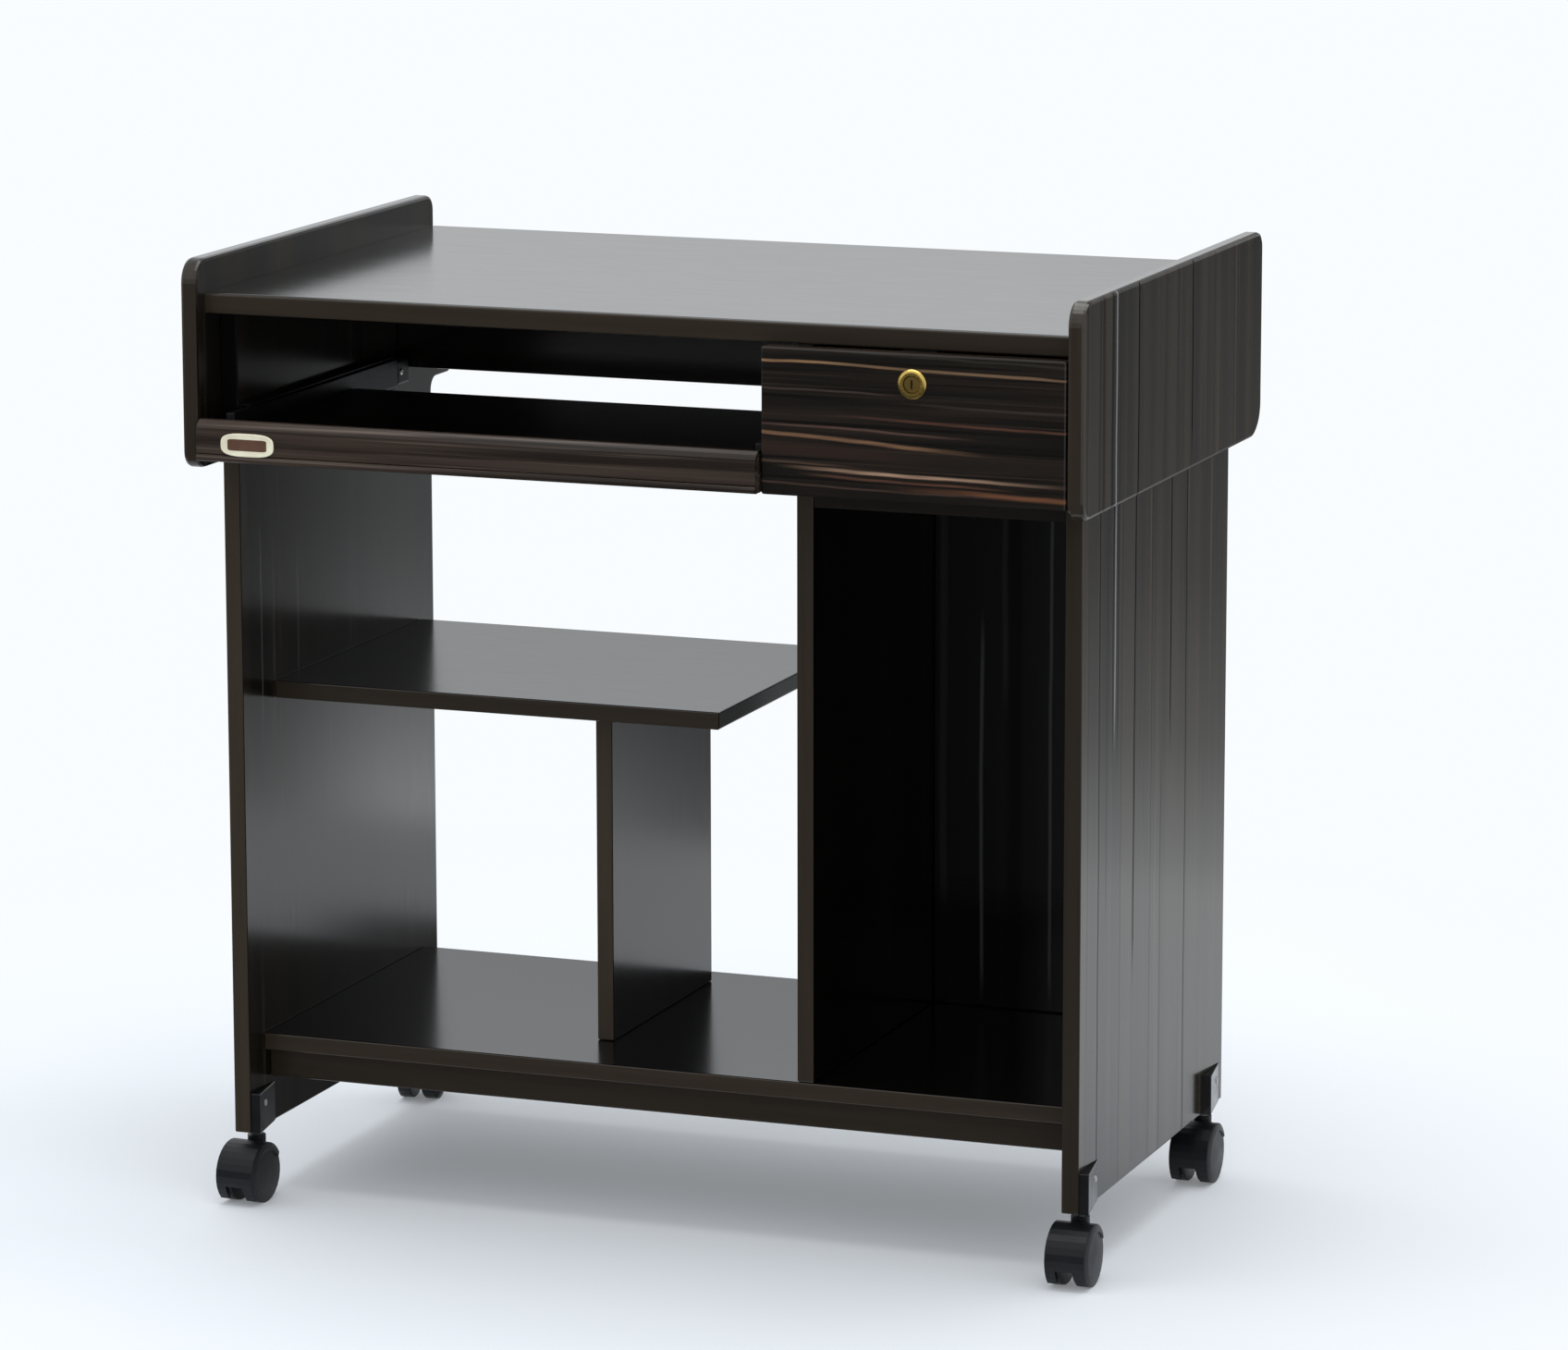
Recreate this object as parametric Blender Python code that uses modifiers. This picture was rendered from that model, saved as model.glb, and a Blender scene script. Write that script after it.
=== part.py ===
"""A computer table on castors.

A desk top sits between two raised cheeks. A keyboard tray and a lockable drawer slide out under it, a divider
makes a bay for a computer case, and a printer shelf stands on an upright support. Four hooded castors, each with
two wheels, carry the two leg panels.

Metres, Z up, front towards -Y. The origin is on the floor under the middle of the whole table.
"""

import math

import bmesh
import bpy
from mathutils import Matrix

# Overall size, over the cheeks
TABLE_WIDTH = 0.800
TABLE_DEPTH = 0.500
TABLE_HEIGHT = 0.830

# Boards and the small gap where two pieces meet
BOARD = 0.015
DESK_THICKNESS = 0.018
FIT = 0.0003
EDGE_ROUND = 0.0012
CHEEK_ROUND = 0.0030

# Cheeks and desk top
CHEEK_HEIGHT = 0.178
CHEEK_LIP = 0.029
CHEEK_FRONT_TOP_RADIUS = 0.020
CHEEK_FRONT_BOTTOM_RADIUS = 0.015
CHEEK_REAR_BOTTOM_RADIUS = 0.028
CHEEK_REAR_TOP_RADIUS = 0.014
DESK_SETBACK = 0.016
DESK_NOSE_TOP_RADIUS = 0.0025
DESK_NOSE_BOTTOM_RADIUS = 0.0025

# Leg panels, narrower than the cheeks, with a wider head at the rear
LEG_SETBACK = 0.046
LEG_HEAD_SETBACK = 0.002
LEG_HEAD_HEIGHT = 0.114
LEG_HEAD_FILLET = 0.012
LEG_HEAD_RADIUS = 0.006

# Divider, back boards and shelves
BAY_WIDTH = 0.2295
SHELF_SETBACK = 0.076
SHELF_REAR_SETBACK = 0.077
BACK_SETBACK = 0.105
REAR_RAIL_HEIGHT = 0.094
SHELF_RISE = 0.083
TOE_RAIL_HEIGHT = 0.026
TOE_RAIL_SETBACK = 0.012
PRINTER_SHELF_RISE = 0.3055
PRINTER_SHELF_SETBACK = 0.110
PRINTER_SHELF_GAP = 0.083
SUPPORT_OFFSET = 0.282
SUPPORT_SETBACK = 0.043
SUPPORT_REAR_SETBACK = 0.035

# Slides of the tray and of the drawer
SLIDE_SPACE = 0.0128
SLIDE_HEIGHT = 0.029
SLIDE_FLANGE = 0.0095
SLIDE_SHEET = 0.0014
SLIDE_FRONT_GAP = 0.004
SLIDE_REAR_GAP = 0.028
RUNNER_INSET = 0.0045
RUNNER_GAP = 0.0006
STOP_LENGTH = 0.025
STOP_HEIGHT = 0.022
STOP_DROP = 0.004

# Keyboard tray
TRAY_DROP = 0.096
TRAY_DEPTH = 0.246
TRAY_SLIDE_RISE = 0.0005
NOSE_PROUD = 0.008
NOSE_DEPTH = 0.020
NOSE_HEIGHT = 0.0346
NOSE_LIP = 0.0083
NOSE_FACE = 0.0018
NOSE_BELLY = 0.0006
FRONT_SIDE_GAP = 0.0008
FRONT_SPLIT_GAP = 0.0024

# Drawer
DRAWER_FRONT_SETBACK = 0.001
DRAWER_FRONT_HEIGHT = 0.1222
DRAWER_FRONT_ROUND = 0.0016
DRAWER_FRONT_OVERHANG = 0.003
DRAWER_TOP_GAP = 0.0008
DRAWER_SHELF_GAP = 0.007
DRAWER_SIDE = 0.012
DRAWER_BOX_HEIGHT = 0.086
DRAWER_BOX_LIFT = 0.012
DRAWER_BACK_GAP = 0.023
DRAWER_SLIDE_RISE = 0.046
DRAWER_PLY = 0.004
GROOVE_DEPTH = 0.0055
GROOVE_RISE = 0.006

# Drawer lock
LOCK_DROP = 0.0248
LOCK_TAIL = 0.006
ROSETTE_RADIUS = 0.0122
ROSETTE_HEIGHT = 0.0022
HOUSING_RADIUS = 0.009
PLUG_RADIUS = 0.007
KEYHOLE_WIDTH = 0.0016
KEYHOLE_LENGTH = 0.0075
KEYHOLE_DEPTH = 0.004
CAM_WIDTH = 0.010
CAM_SHEET = 0.002
CAM_CLEARANCE = 0.0012
STRIKE_SHEET = 0.0017
STRIKE_HEIGHT = 0.011
STRIKE_LENGTH = 0.030
STRIKE_FLANGE = 0.020
STRIKE_GAP = 0.0035

# Castors
WHEEL_RADIUS = 0.025
WHEEL_WIDTH = 0.0137
WHEEL_SIDES = 24
WHEEL_GAP = 0.0005
TREAD_SHARE = 0.86
DOME_POWER = 1.5
WEB_THICKNESS = 0.0095
AXLE_RADIUS = 0.0025
TRAIL = 0.015
HOOD_CLEARANCE = 0.0012
HOOD_WALL = 0.0018
HOOD_STATIONS = (0, 0.10, 0.24, 0.42)
HOOD_BACK_ANGLE = -58
HOOD_FRONT_ANGLE = 136
HOOD_NOTCH_WIDTH = 0.017
HOOD_NOTCH_HEIGHT = 0.0175
HUB_RADIUS = 0.009
BOSS_RADIUS = 0.008
BOSS_RISE = 0.0025
NECK_HEIGHT = 0.007
NECK_RADIUS = 0.0055
PIN_RADIUS = 0.004
LOWER_PIN_RADIUS = 0.003
LOWER_PIN_LENGTH = 0.025
PIN_LENGTH = 0.026
BORE_GAP = 0.0003
SOCKET_DROP = 0.0005
SOCKET_HEIGHT = 0.0355
SOCKET_LENGTH = 0.048
SOCKET_SKIN = 0.002
SOCKET_PROUD = 0.0085
SOCKET_REAR_PROUD = 0.0006
FRONT_SOCKET_SETBACK = 0.026
REAR_SOCKET_SETBACK = 0.035
STEM_OFFSET = 0.001
CASTORS = (
    ("front_left", -1, "front", -4),
    ("front_right", 1, "front", 0),
    ("rear_left", -1, "rear", 187),
    ("rear_right", 1, "rear", 0),
)

# Planes across the table, from the cheeks inward
CHEEK_OUTER = TABLE_WIDTH / 2
CHEEK_INNER = CHEEK_OUTER - BOARD
LEG_OUTER = CHEEK_INNER - FIT
LEG_INNER = LEG_OUTER - BOARD
DIVIDER_RIGHT = LEG_INNER - BAY_WIDTH
DIVIDER_LEFT = DIVIDER_RIGHT - BOARD

# Planes from front to rear
FRONT = (NOSE_PROUD - TABLE_DEPTH) / 2
REAR = FRONT + TABLE_DEPTH
SHELF_FRONT = FRONT + SHELF_SETBACK
SHELF_REAR = REAR - SHELF_REAR_SETBACK
BACK_FACE = REAR - BACK_SETBACK - BOARD
NOSE_FRONT = FRONT - NOSE_PROUD
NOSE_BACK = NOSE_FRONT + NOSE_DEPTH
SLIDE_REAR = BACK_FACE - SLIDE_REAR_GAP
DRAWER_FACE = FRONT + DRAWER_FRONT_SETBACK
DRAWER_FRONT_BACK = DRAWER_FACE + BOARD
DRAWER_REAR = BACK_FACE - DRAWER_BACK_GAP

# Levels above the floor
AXLE_Z = WHEEL_RADIUS
HOOD_INNER_RADIUS = WHEEL_RADIUS + HOOD_CLEARANCE
HOOD_OUTER_RADIUS = HOOD_INNER_RADIUS + HOOD_WALL
BOSS_TOP = AXLE_Z + HOOD_OUTER_RADIUS + BOSS_RISE
SOCKET_BOTTOM = BOSS_TOP + NECK_HEIGHT
LEG_BOTTOM = SOCKET_BOTTOM + SOCKET_DROP
CHEEK_BOTTOM = TABLE_HEIGHT - CHEEK_HEIGHT
DESK_SURFACE = TABLE_HEIGHT - CHEEK_LIP
DESK_UNDER = DESK_SURFACE - DESK_THICKNESS
PANEL_TOP = DESK_UNDER - FIT
BOTTOM_SHELF_Z = LEG_BOTTOM + SHELF_RISE
PRINTER_SHELF_Z = BOTTOM_SHELF_Z + PRINTER_SHELF_RISE
TRAY_Z = DESK_UNDER - TRAY_DROP
NOSE_BOTTOM = TRAY_Z + NOSE_LIP - NOSE_HEIGHT
DRAWER_FRONT_TOP = DESK_UNDER - DRAWER_TOP_GAP
DRAWER_FRONT_BOTTOM = DRAWER_FRONT_TOP - DRAWER_FRONT_HEIGHT
DRAWER_SHELF_Z = DRAWER_FRONT_BOTTOM - DRAWER_SHELF_GAP
DRAWER_BOX_Z = DRAWER_SHELF_Z + DRAWER_BOX_LIFT
LOCK_Z = DRAWER_FRONT_TOP - LOCK_DROP

# Ends of the tray and of the drawer across the table
TRAY_LEFT = -LEG_INNER + SLIDE_SPACE
TRAY_RIGHT = DIVIDER_LEFT - SLIDE_SPACE
DRAWER_FRONT_LEFT = DIVIDER_LEFT - DRAWER_FRONT_OVERHANG
DRAWER_FRONT_RIGHT = CHEEK_INNER - FRONT_SIDE_GAP
DRAWER_LEFT = DIVIDER_RIGHT + SLIDE_SPACE
DRAWER_RIGHT = LEG_INNER - SLIDE_SPACE
LOCK_X = (DRAWER_FRONT_LEFT + DRAWER_FRONT_RIGHT) / 2
CAM_REACH = DRAWER_TOP_GAP + LOCK_DROP - FIT - STRIKE_SHEET - CAM_CLEARANCE

# How an outline drawn flat is turned so that it is extruded along one axis of the table
ALONG = {
    "X": Matrix(((0, 0, 1), (1, 0, 0), (0, 1, 0))),
    "-X": Matrix(((0, 0, -1), (1, 0, 0), (0, -1, 0))),
    "Y": Matrix(((1, 0, 0), (0, 0, -1), (0, 1, 0))),
    "Z": Matrix.Identity(3),
}


def clear_scene():
    """Remove whatever the scene starts with."""
    for item in list(bpy.data.objects):
        bpy.data.objects.remove(item, do_unlink=True)


def new_collection(name):
    """A collection under the scene's own."""
    collection = bpy.data.collections.new(name)
    bpy.context.scene.collection.children.link(collection)
    return collection


def new_material(name, colour, roughness, metallic=0.0):
    """A plain Principled material."""
    material = bpy.data.materials.new(name)
    material.use_nodes = True
    shader = material.node_tree.nodes["Principled BSDF"]
    shader.inputs["Base Color"].default_value = (*colour, 1.0)
    shader.inputs["Roughness"].default_value = roughness
    shader.inputs["Metallic"].default_value = metallic
    return material


clear_scene()
TABLE = new_collection("computer_table")
CUTTERS = new_collection("cutters")
CUTTERS.hide_render = True
LAMINATE = new_material("dark_laminate", (0.045, 0.036, 0.030), 0.25)
DRAWER_WOOD = new_material("drawer_board", (0.060, 0.042, 0.032), 0.45)
SLIDE_METAL = new_material("slide_steel", (0.10, 0.10, 0.11), 0.40, 0.8)
BLACK_PLASTIC = new_material("black_plastic", (0.020, 0.020, 0.022), 0.45)
WHEEL_PLASTIC = new_material("wheel_plastic", (0.026, 0.027, 0.030), 0.40)
STEEL = new_material("bright_steel", (0.55, 0.55, 0.56), 0.30, 1.0)
BRASS = new_material("brass", (0.70, 0.48, 0.14), 0.28, 1.0)


def add_object(name, mesh, location, rotation, material):
    """Put a mesh into the table as one named piece."""
    piece = bpy.data.objects.new(name, mesh)
    TABLE.objects.link(piece)
    piece.location = location
    piece.rotation_euler = rotation.to_euler()
    piece.data.materials.append(material)
    return piece


def add_group(name, location, turn=0.0, group=None):
    """An empty on a joint's axis, which carries the pieces that move with the joint."""
    empty = bpy.data.objects.new(name, None)
    empty.empty_display_size = 0.03
    TABLE.objects.link(empty)
    empty.location = location
    empty.rotation_euler = (0, 0, math.radians(turn))
    if group is not None:
        hold(empty, group)
    return empty


def hold(piece, group):
    """Let a piece that stands at its place in the table ride on a group."""
    bpy.context.view_layer.update()
    piece.parent = group
    piece.matrix_parent_inverse = group.matrix_world.inverted()


def as_cutter(piece, group=None):
    """Hide a helper solid that only shapes another piece."""
    TABLE.objects.unlink(piece)
    CUTTERS.objects.link(piece)
    piece.hide_render = True
    piece.display_type = "WIRE"
    if group is not None:
        piece.parent = group
    return piece


def soften(piece, width, segments=2):
    """Round the sharp edges of a piece."""
    bevel = piece.modifiers.new("soft edges", "BEVEL")
    bevel.width = width
    bevel.segments = segments
    bevel.limit_method = "ANGLE"
    bevel.angle_limit = math.radians(40)


def combine(piece, helper, operation):
    """Join a helper to a piece, or cut it out of the piece."""
    boolean = piece.modifiers.new(operation.lower(), "BOOLEAN")
    boolean.operation = operation
    boolean.solver = "EXACT"
    boolean.object = helper


def box(name, low, high, material, rounding=EDGE_ROUND):
    """A straight board between two corners."""
    size = [b - a for a, b in zip(low, high)]
    middle = [(a + b) / 2 for a, b in zip(low, high)]
    form = bmesh.new()
    bmesh.ops.create_cube(form, size=1.0, matrix=Matrix.Diagonal((*size, 1.0)))
    mesh = bpy.data.meshes.new(name)
    form.to_mesh(mesh)
    form.free()
    piece = add_object(name, mesh, middle, ALONG["Z"], material)
    if rounding > 0:
        soften(piece, rounding)
    return piece


def rounded(corners, step_degrees=12):
    """Points of an outline whose corners (u, v, radius) are rounded."""
    points = []
    count = len(corners)
    for index, (u, v, radius) in enumerate(corners):
        if radius == 0:
            points.append((u, v))
            continue
        before = corners[index - 1]
        after = corners[(index + 1) % count]
        to_before = math.atan2(before[1] - v, before[0] - u)
        to_after = math.atan2(after[1] - v, after[0] - u)
        opening = math.remainder(to_after - to_before, math.tau)
        half = abs(opening) / 2
        middle = to_before + opening / 2
        reach = radius / math.sin(half)
        centre = (u + reach * math.cos(middle), v + reach * math.sin(middle))
        sweep = math.pi - 2 * half
        steps = max(2, round(math.degrees(sweep) / step_degrees))
        for step in range(steps + 1):
            swing = (step / steps - 0.5) * sweep * math.copysign(1, -opening)
            angle = middle + math.pi + swing
            points.append((centre[0] + radius * math.cos(angle), centre[1] + radius * math.sin(angle)))
    return points


def outline_mesh(name, points, thickness):
    """A closed solid made by extruding a flat outline evenly to both sides."""
    curve = bpy.data.curves.new(name, "CURVE")
    curve.dimensions = "2D"
    curve.fill_mode = "BOTH"
    curve.extrude = thickness / 2
    spline = curve.splines.new("POLY")
    spline.points.add(len(points) - 1)
    for point, (u, v) in zip(spline.points, points):
        point.co = (u, v, 0, 1)
    spline.use_cyclic_u = True
    holder = bpy.data.objects.new(name, curve)
    mesh = bpy.data.meshes.new_from_object(holder)
    bpy.data.objects.remove(holder)
    bpy.data.curves.remove(curve)
    form = bmesh.new()
    form.from_mesh(mesh)
    bmesh.ops.remove_doubles(form, verts=form.verts, dist=1e-6)
    bmesh.ops.dissolve_limit(form, angle_limit=math.radians(0.5), verts=form.verts, edges=form.edges)
    bmesh.ops.recalc_face_normals(form, faces=form.faces)
    form.to_mesh(mesh)
    form.free()
    return mesh


def extruded(name, points, thickness, axis, origin, material, rounding=EDGE_ROUND):
    """A board or rail with an outline of its own, extruded along one axis around its origin."""
    mesh = outline_mesh(name, points, thickness)
    piece = add_object(name, mesh, origin, ALONG[axis], material)
    if rounding > 0:
        soften(piece, rounding)
    return piece


def turned(name, profile, steps, axis, origin, material, closed=False):
    """A turned solid. The profile (radius, height) runs down its outer side, and a flat side faces down."""
    mesh = bpy.data.meshes.new(name)
    edges = [(index, index + 1) for index in range(len(profile) - 1)]
    if closed:
        edges.append((len(profile) - 1, 0))
    mesh.from_pydata([(radius, 0, height) for radius, height in profile], edges, [])
    turn = ALONG[axis] @ Matrix.Rotation(math.pi / steps, 3, "Z")
    piece = add_object(name, mesh, origin, turn, material)
    screw = piece.modifiers.new("turned", "SCREW")
    screw.steps = steps
    screw.render_steps = steps
    screw.use_merge_vertices = True
    screw.merge_threshold = 1e-5
    return piece


def cylinder(name, radius, length, axis, origin, steps=24):
    """A plain round helper solid, centred on its origin."""
    form = bmesh.new()
    bmesh.ops.create_cone(
        form, cap_ends=True, segments=steps, radius1=radius, radius2=radius, depth=length
    )
    mesh = bpy.data.meshes.new(name)
    form.to_mesh(mesh)
    form.free()
    return add_object(name, mesh, origin, ALONG[axis], STEEL)


def make_cheek(name, side):
    """An upper side board with four rounded corners."""
    corners = (
        (0, 0, CHEEK_FRONT_BOTTOM_RADIUS),
        (TABLE_DEPTH, 0, CHEEK_REAR_BOTTOM_RADIUS),
        (TABLE_DEPTH, CHEEK_HEIGHT, CHEEK_REAR_TOP_RADIUS),
        (0, CHEEK_HEIGHT, CHEEK_FRONT_TOP_RADIUS),
    )
    middle = side * (CHEEK_OUTER + CHEEK_INNER) / 2
    origin = (middle, FRONT, CHEEK_BOTTOM)
    extruded(name, rounded(corners), BOARD, "X", origin, LAMINATE, CHEEK_ROUND)


def make_desk_top():
    """The desk top between the cheeks, with a soft front edge."""
    depth = TABLE_DEPTH - DESK_SETBACK
    corners = (
        (0, 0, DESK_NOSE_BOTTOM_RADIUS),
        (depth, 0, 0),
        (depth, DESK_THICKNESS, 0),
        (0, DESK_THICKNESS, DESK_NOSE_TOP_RADIUS),
    )
    origin = (0, FRONT + DESK_SETBACK, DESK_UNDER)
    width = 2 * (CHEEK_INNER - FIT)
    extruded("desk_top", rounded(corners), width, "X", origin, LAMINATE, 0)


def socket_middle(place):
    """Where a castor's socket is, from front to rear."""
    if place == "front":
        return FRONT + LEG_SETBACK + FRONT_SOCKET_SETBACK
    return REAR - LEG_SETBACK - REAR_SOCKET_SETBACK


def socket_faces(side):
    """Left and right faces of a leg's castor sockets, which stand proud to the right on both legs."""
    left_face = min(side * LEG_INNER, side * LEG_OUTER)
    return left_face + SOCKET_SKIN, left_face + BOARD + SOCKET_PROUD


def make_leg_panel(name, side):
    """A leg panel with its rear head, and two pockets in its right face for the castor sockets."""
    height = PANEL_TOP - LEG_BOTTOM
    head = height - LEG_HEAD_HEIGHT
    front = LEG_SETBACK
    rear = TABLE_DEPTH - LEG_SETBACK
    head_rear = TABLE_DEPTH - LEG_HEAD_SETBACK
    corners = (
        (front, 0, 0),
        (rear, 0, 0),
        (rear, head, LEG_HEAD_FILLET),
        (head_rear, head, LEG_HEAD_RADIUS),
        (head_rear, height, 0),
        (front, height, 0),
    )
    middle = side * (LEG_OUTER + LEG_INNER) / 2
    origin = (middle, FRONT, LEG_BOTTOM)
    panel = extruded(name, rounded(corners), BOARD, "X", origin, LAMINATE)
    for place in ("front", "rear"):
        left_face, right_face = socket_faces(side)
        middle_y = socket_middle(place)
        reach = SOCKET_LENGTH / 2 + FIT
        low = (left_face - FIT, middle_y - reach, SOCKET_BOTTOM - SOCKET_DROP)
        high = (right_face, middle_y + reach, SOCKET_BOTTOM + SOCKET_HEIGHT + FIT)
        pocket = as_cutter(box(f"{name}_{place}_pocket", low, high, LAMINATE, 0))
        combine(panel, pocket, "DIFFERENCE")


def make_carcass():
    """The fixed boards."""
    make_desk_top()
    for word, side in (("left", -1), ("right", 1)):
        make_cheek(f"{word}_cheek", side)
        make_leg_panel(f"{word}_leg_panel", side)
    shelf_under = BOTTOM_SHELF_Z - BOARD
    shelf_reach = LEG_INNER - FIT
    back_rear = BACK_FACE + BOARD
    box(
        "bottom_shelf",
        (-shelf_reach, SHELF_FRONT, shelf_under),
        (shelf_reach, SHELF_REAR, BOTTOM_SHELF_Z),
        LAMINATE,
    )
    toe_front = SHELF_FRONT + TOE_RAIL_SETBACK
    box(
        "toe_rail",
        (-shelf_reach, toe_front, shelf_under - FIT - TOE_RAIL_HEIGHT),
        (shelf_reach, toe_front + BOARD, shelf_under - FIT),
        LAMINATE,
    )
    box(
        "divider_panel",
        (DIVIDER_LEFT, SHELF_FRONT, BOTTOM_SHELF_Z + FIT),
        (DIVIDER_RIGHT, SHELF_REAR, PANEL_TOP),
        LAMINATE,
    )
    box(
        "bay_back_panel",
        (DIVIDER_RIGHT + FIT, BACK_FACE, BOTTOM_SHELF_Z + FIT),
        (LEG_INNER - FIT, back_rear, PANEL_TOP),
        LAMINATE,
    )
    box(
        "rear_rail",
        (-LEG_INNER + FIT, BACK_FACE, PANEL_TOP - REAR_RAIL_HEIGHT),
        (DIVIDER_LEFT - FIT, back_rear, PANEL_TOP),
        LAMINATE,
    )
    box(
        "drawer_shelf",
        (DIVIDER_RIGHT + FIT, SHELF_FRONT, DRAWER_SHELF_Z - BOARD),
        (LEG_INNER - FIT, BACK_FACE - FIT, DRAWER_SHELF_Z),
        LAMINATE,
    )
    printer_front = FRONT + PRINTER_SHELF_SETBACK
    box(
        "printer_shelf",
        (-LEG_INNER + FIT, printer_front, PRINTER_SHELF_Z - BOARD),
        (DIVIDER_LEFT - PRINTER_SHELF_GAP, SHELF_REAR, PRINTER_SHELF_Z),
        LAMINATE,
    )
    support_left = -LEG_INNER + SUPPORT_OFFSET
    box(
        "shelf_support",
        (support_left, printer_front + SUPPORT_SETBACK, BOTTOM_SHELF_Z + FIT),
        (support_left + BOARD, SHELF_REAR - SUPPORT_REAR_SETBACK, PRINTER_SHELF_Z - BOARD - FIT),
        LAMINATE,
    )


def make_channel(name, wall, inward, front, rear, middle_z):
    """A fixed slide channel on a wall, open towards the piece that slides in it."""
    half = SLIDE_HEIGHT / 2
    section = (
        (0, -half),
        (SLIDE_FLANGE, -half),
        (SLIDE_FLANGE, SLIDE_SHEET - half),
        (SLIDE_SHEET, SLIDE_SHEET - half),
        (SLIDE_SHEET, half - SLIDE_SHEET),
        (SLIDE_FLANGE, half - SLIDE_SHEET),
        (SLIDE_FLANGE, half),
        (0, half),
    )
    points = [(inward * u, v) for u, v in section]
    origin = (wall + inward * FIT, (front + rear) / 2, middle_z)
    extruded(name, points, rear - front, "Y", origin, SLIDE_METAL, 0)


def make_runner(name, wall, inward, front, rear, middle_z, group):
    """The sliding bar in a channel, fixed to the side of the tray or of the drawer."""
    across = sorted((wall + inward * RUNNER_INSET, wall + inward * (SLIDE_SPACE - FIT)))
    reach = SLIDE_HEIGHT / 2 - SLIDE_SHEET - RUNNER_GAP
    low = (across[0], front, middle_z - reach)
    high = (across[1], rear, middle_z + reach)
    hold(box(name, low, high, SLIDE_METAL, 0.0008), group)


def nose_profile():
    """Section of the tray's front rail: a bead at the foot, a full face, a bevelled top and a low lip."""
    bead = 0.0064
    bevel = 0.0062
    bead_radius = bead / 2
    points = [(NOSE_DEPTH, 0)]
    for step in range(9):
        angle = math.radians(270 - step * 22.5)
        points.append((bead_radius * (1 + math.cos(angle)), bead_radius * (1 + math.sin(angle))))
    face_top = NOSE_HEIGHT - bevel
    for step in range(7):
        share = step / 6
        bulge = NOSE_BELLY * math.sin(math.pi * share)
        points.append((NOSE_FACE - bulge, bead + 0.0006 + share * (face_top - bead - 0.0006)))
    points.append((NOSE_FACE + bevel * 0.45, NOSE_HEIGHT - bevel * 0.42))
    points.append((NOSE_FACE + bevel, NOSE_HEIGHT))
    points.append((NOSE_DEPTH * 0.72, NOSE_HEIGHT))
    points.append((NOSE_DEPTH * 0.80, NOSE_HEIGHT - 0.0015))
    points.append((NOSE_DEPTH * 0.82, NOSE_HEIGHT - NOSE_LIP * 0.7))
    points.append((NOSE_DEPTH, NOSE_HEIGHT - NOSE_LIP))
    return points


def make_tray():
    """The keyboard tray with its moulded front rail, its slides and their rear stops."""
    group = add_group("keyboard_tray", ((TRAY_LEFT + TRAY_RIGHT) / 2, NOSE_BACK, TRAY_Z))
    board_front = NOSE_BACK + FIT
    board = box(
        "tray_board",
        (TRAY_LEFT, board_front, TRAY_Z - BOARD),
        (TRAY_RIGHT, board_front + TRAY_DEPTH, TRAY_Z),
        LAMINATE,
    )
    hold(board, group)
    nose_left = -CHEEK_INNER + FRONT_SIDE_GAP
    nose_right = DRAWER_FRONT_LEFT - FRONT_SPLIT_GAP
    origin = ((nose_left + nose_right) / 2, NOSE_FRONT, NOSE_BOTTOM)
    nose = extruded(
        "tray_front_rail", nose_profile(), nose_right - nose_left, "X", origin, LAMINATE, 0
    )
    hold(nose, group)
    middle_z = TRAY_Z + TRAY_SLIDE_RISE
    ends = (
        ("left", -LEG_INNER, 1, FRONT + LEG_SETBACK),
        ("right", DIVIDER_LEFT, -1, SHELF_FRONT),
    )
    for word, wall, inward, wall_front in ends:
        make_channel(f"{word}_tray_rail", wall, inward, wall_front + SLIDE_FRONT_GAP, SLIDE_REAR, middle_z)
        make_runner(f"{word}_tray_runner", wall, inward, board_front, SLIDE_REAR - FIT, middle_z, group)
        across = sorted((wall + inward * FIT, wall + inward * (SLIDE_SPACE - FIT)))
        stop_top = middle_z + SLIDE_HEIGHT / 2 - STOP_DROP
        box(
            f"{word}_tray_stop",
            (across[0], SLIDE_REAR + FIT, stop_top - STOP_HEIGHT),
            (across[1], SLIDE_REAR + FIT + STOP_LENGTH, stop_top),
            BLACK_PLASTIC,
            0.002,
        )


def make_drawer_side(name, outer, inward, group):
    """A drawer side with a groove for the bottom panel."""
    groove_top = GROOVE_RISE + DRAWER_PLY + 2 * FIT
    section = (
        (0, 0),
        (DRAWER_SIDE, 0),
        (DRAWER_SIDE, GROOVE_RISE),
        (DRAWER_SIDE - GROOVE_DEPTH, GROOVE_RISE),
        (DRAWER_SIDE - GROOVE_DEPTH, groove_top),
        (DRAWER_SIDE, groove_top),
        (DRAWER_SIDE, DRAWER_BOX_HEIGHT),
        (0, DRAWER_BOX_HEIGHT),
    )
    points = [(inward * u, v) for u, v in section]
    front = DRAWER_FRONT_BACK + FIT
    origin = (outer, (front + DRAWER_REAR) / 2, DRAWER_BOX_Z)
    hold(extruded(name, points, DRAWER_REAR - front, "Y", origin, DRAWER_WOOD, 0), group)


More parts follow.
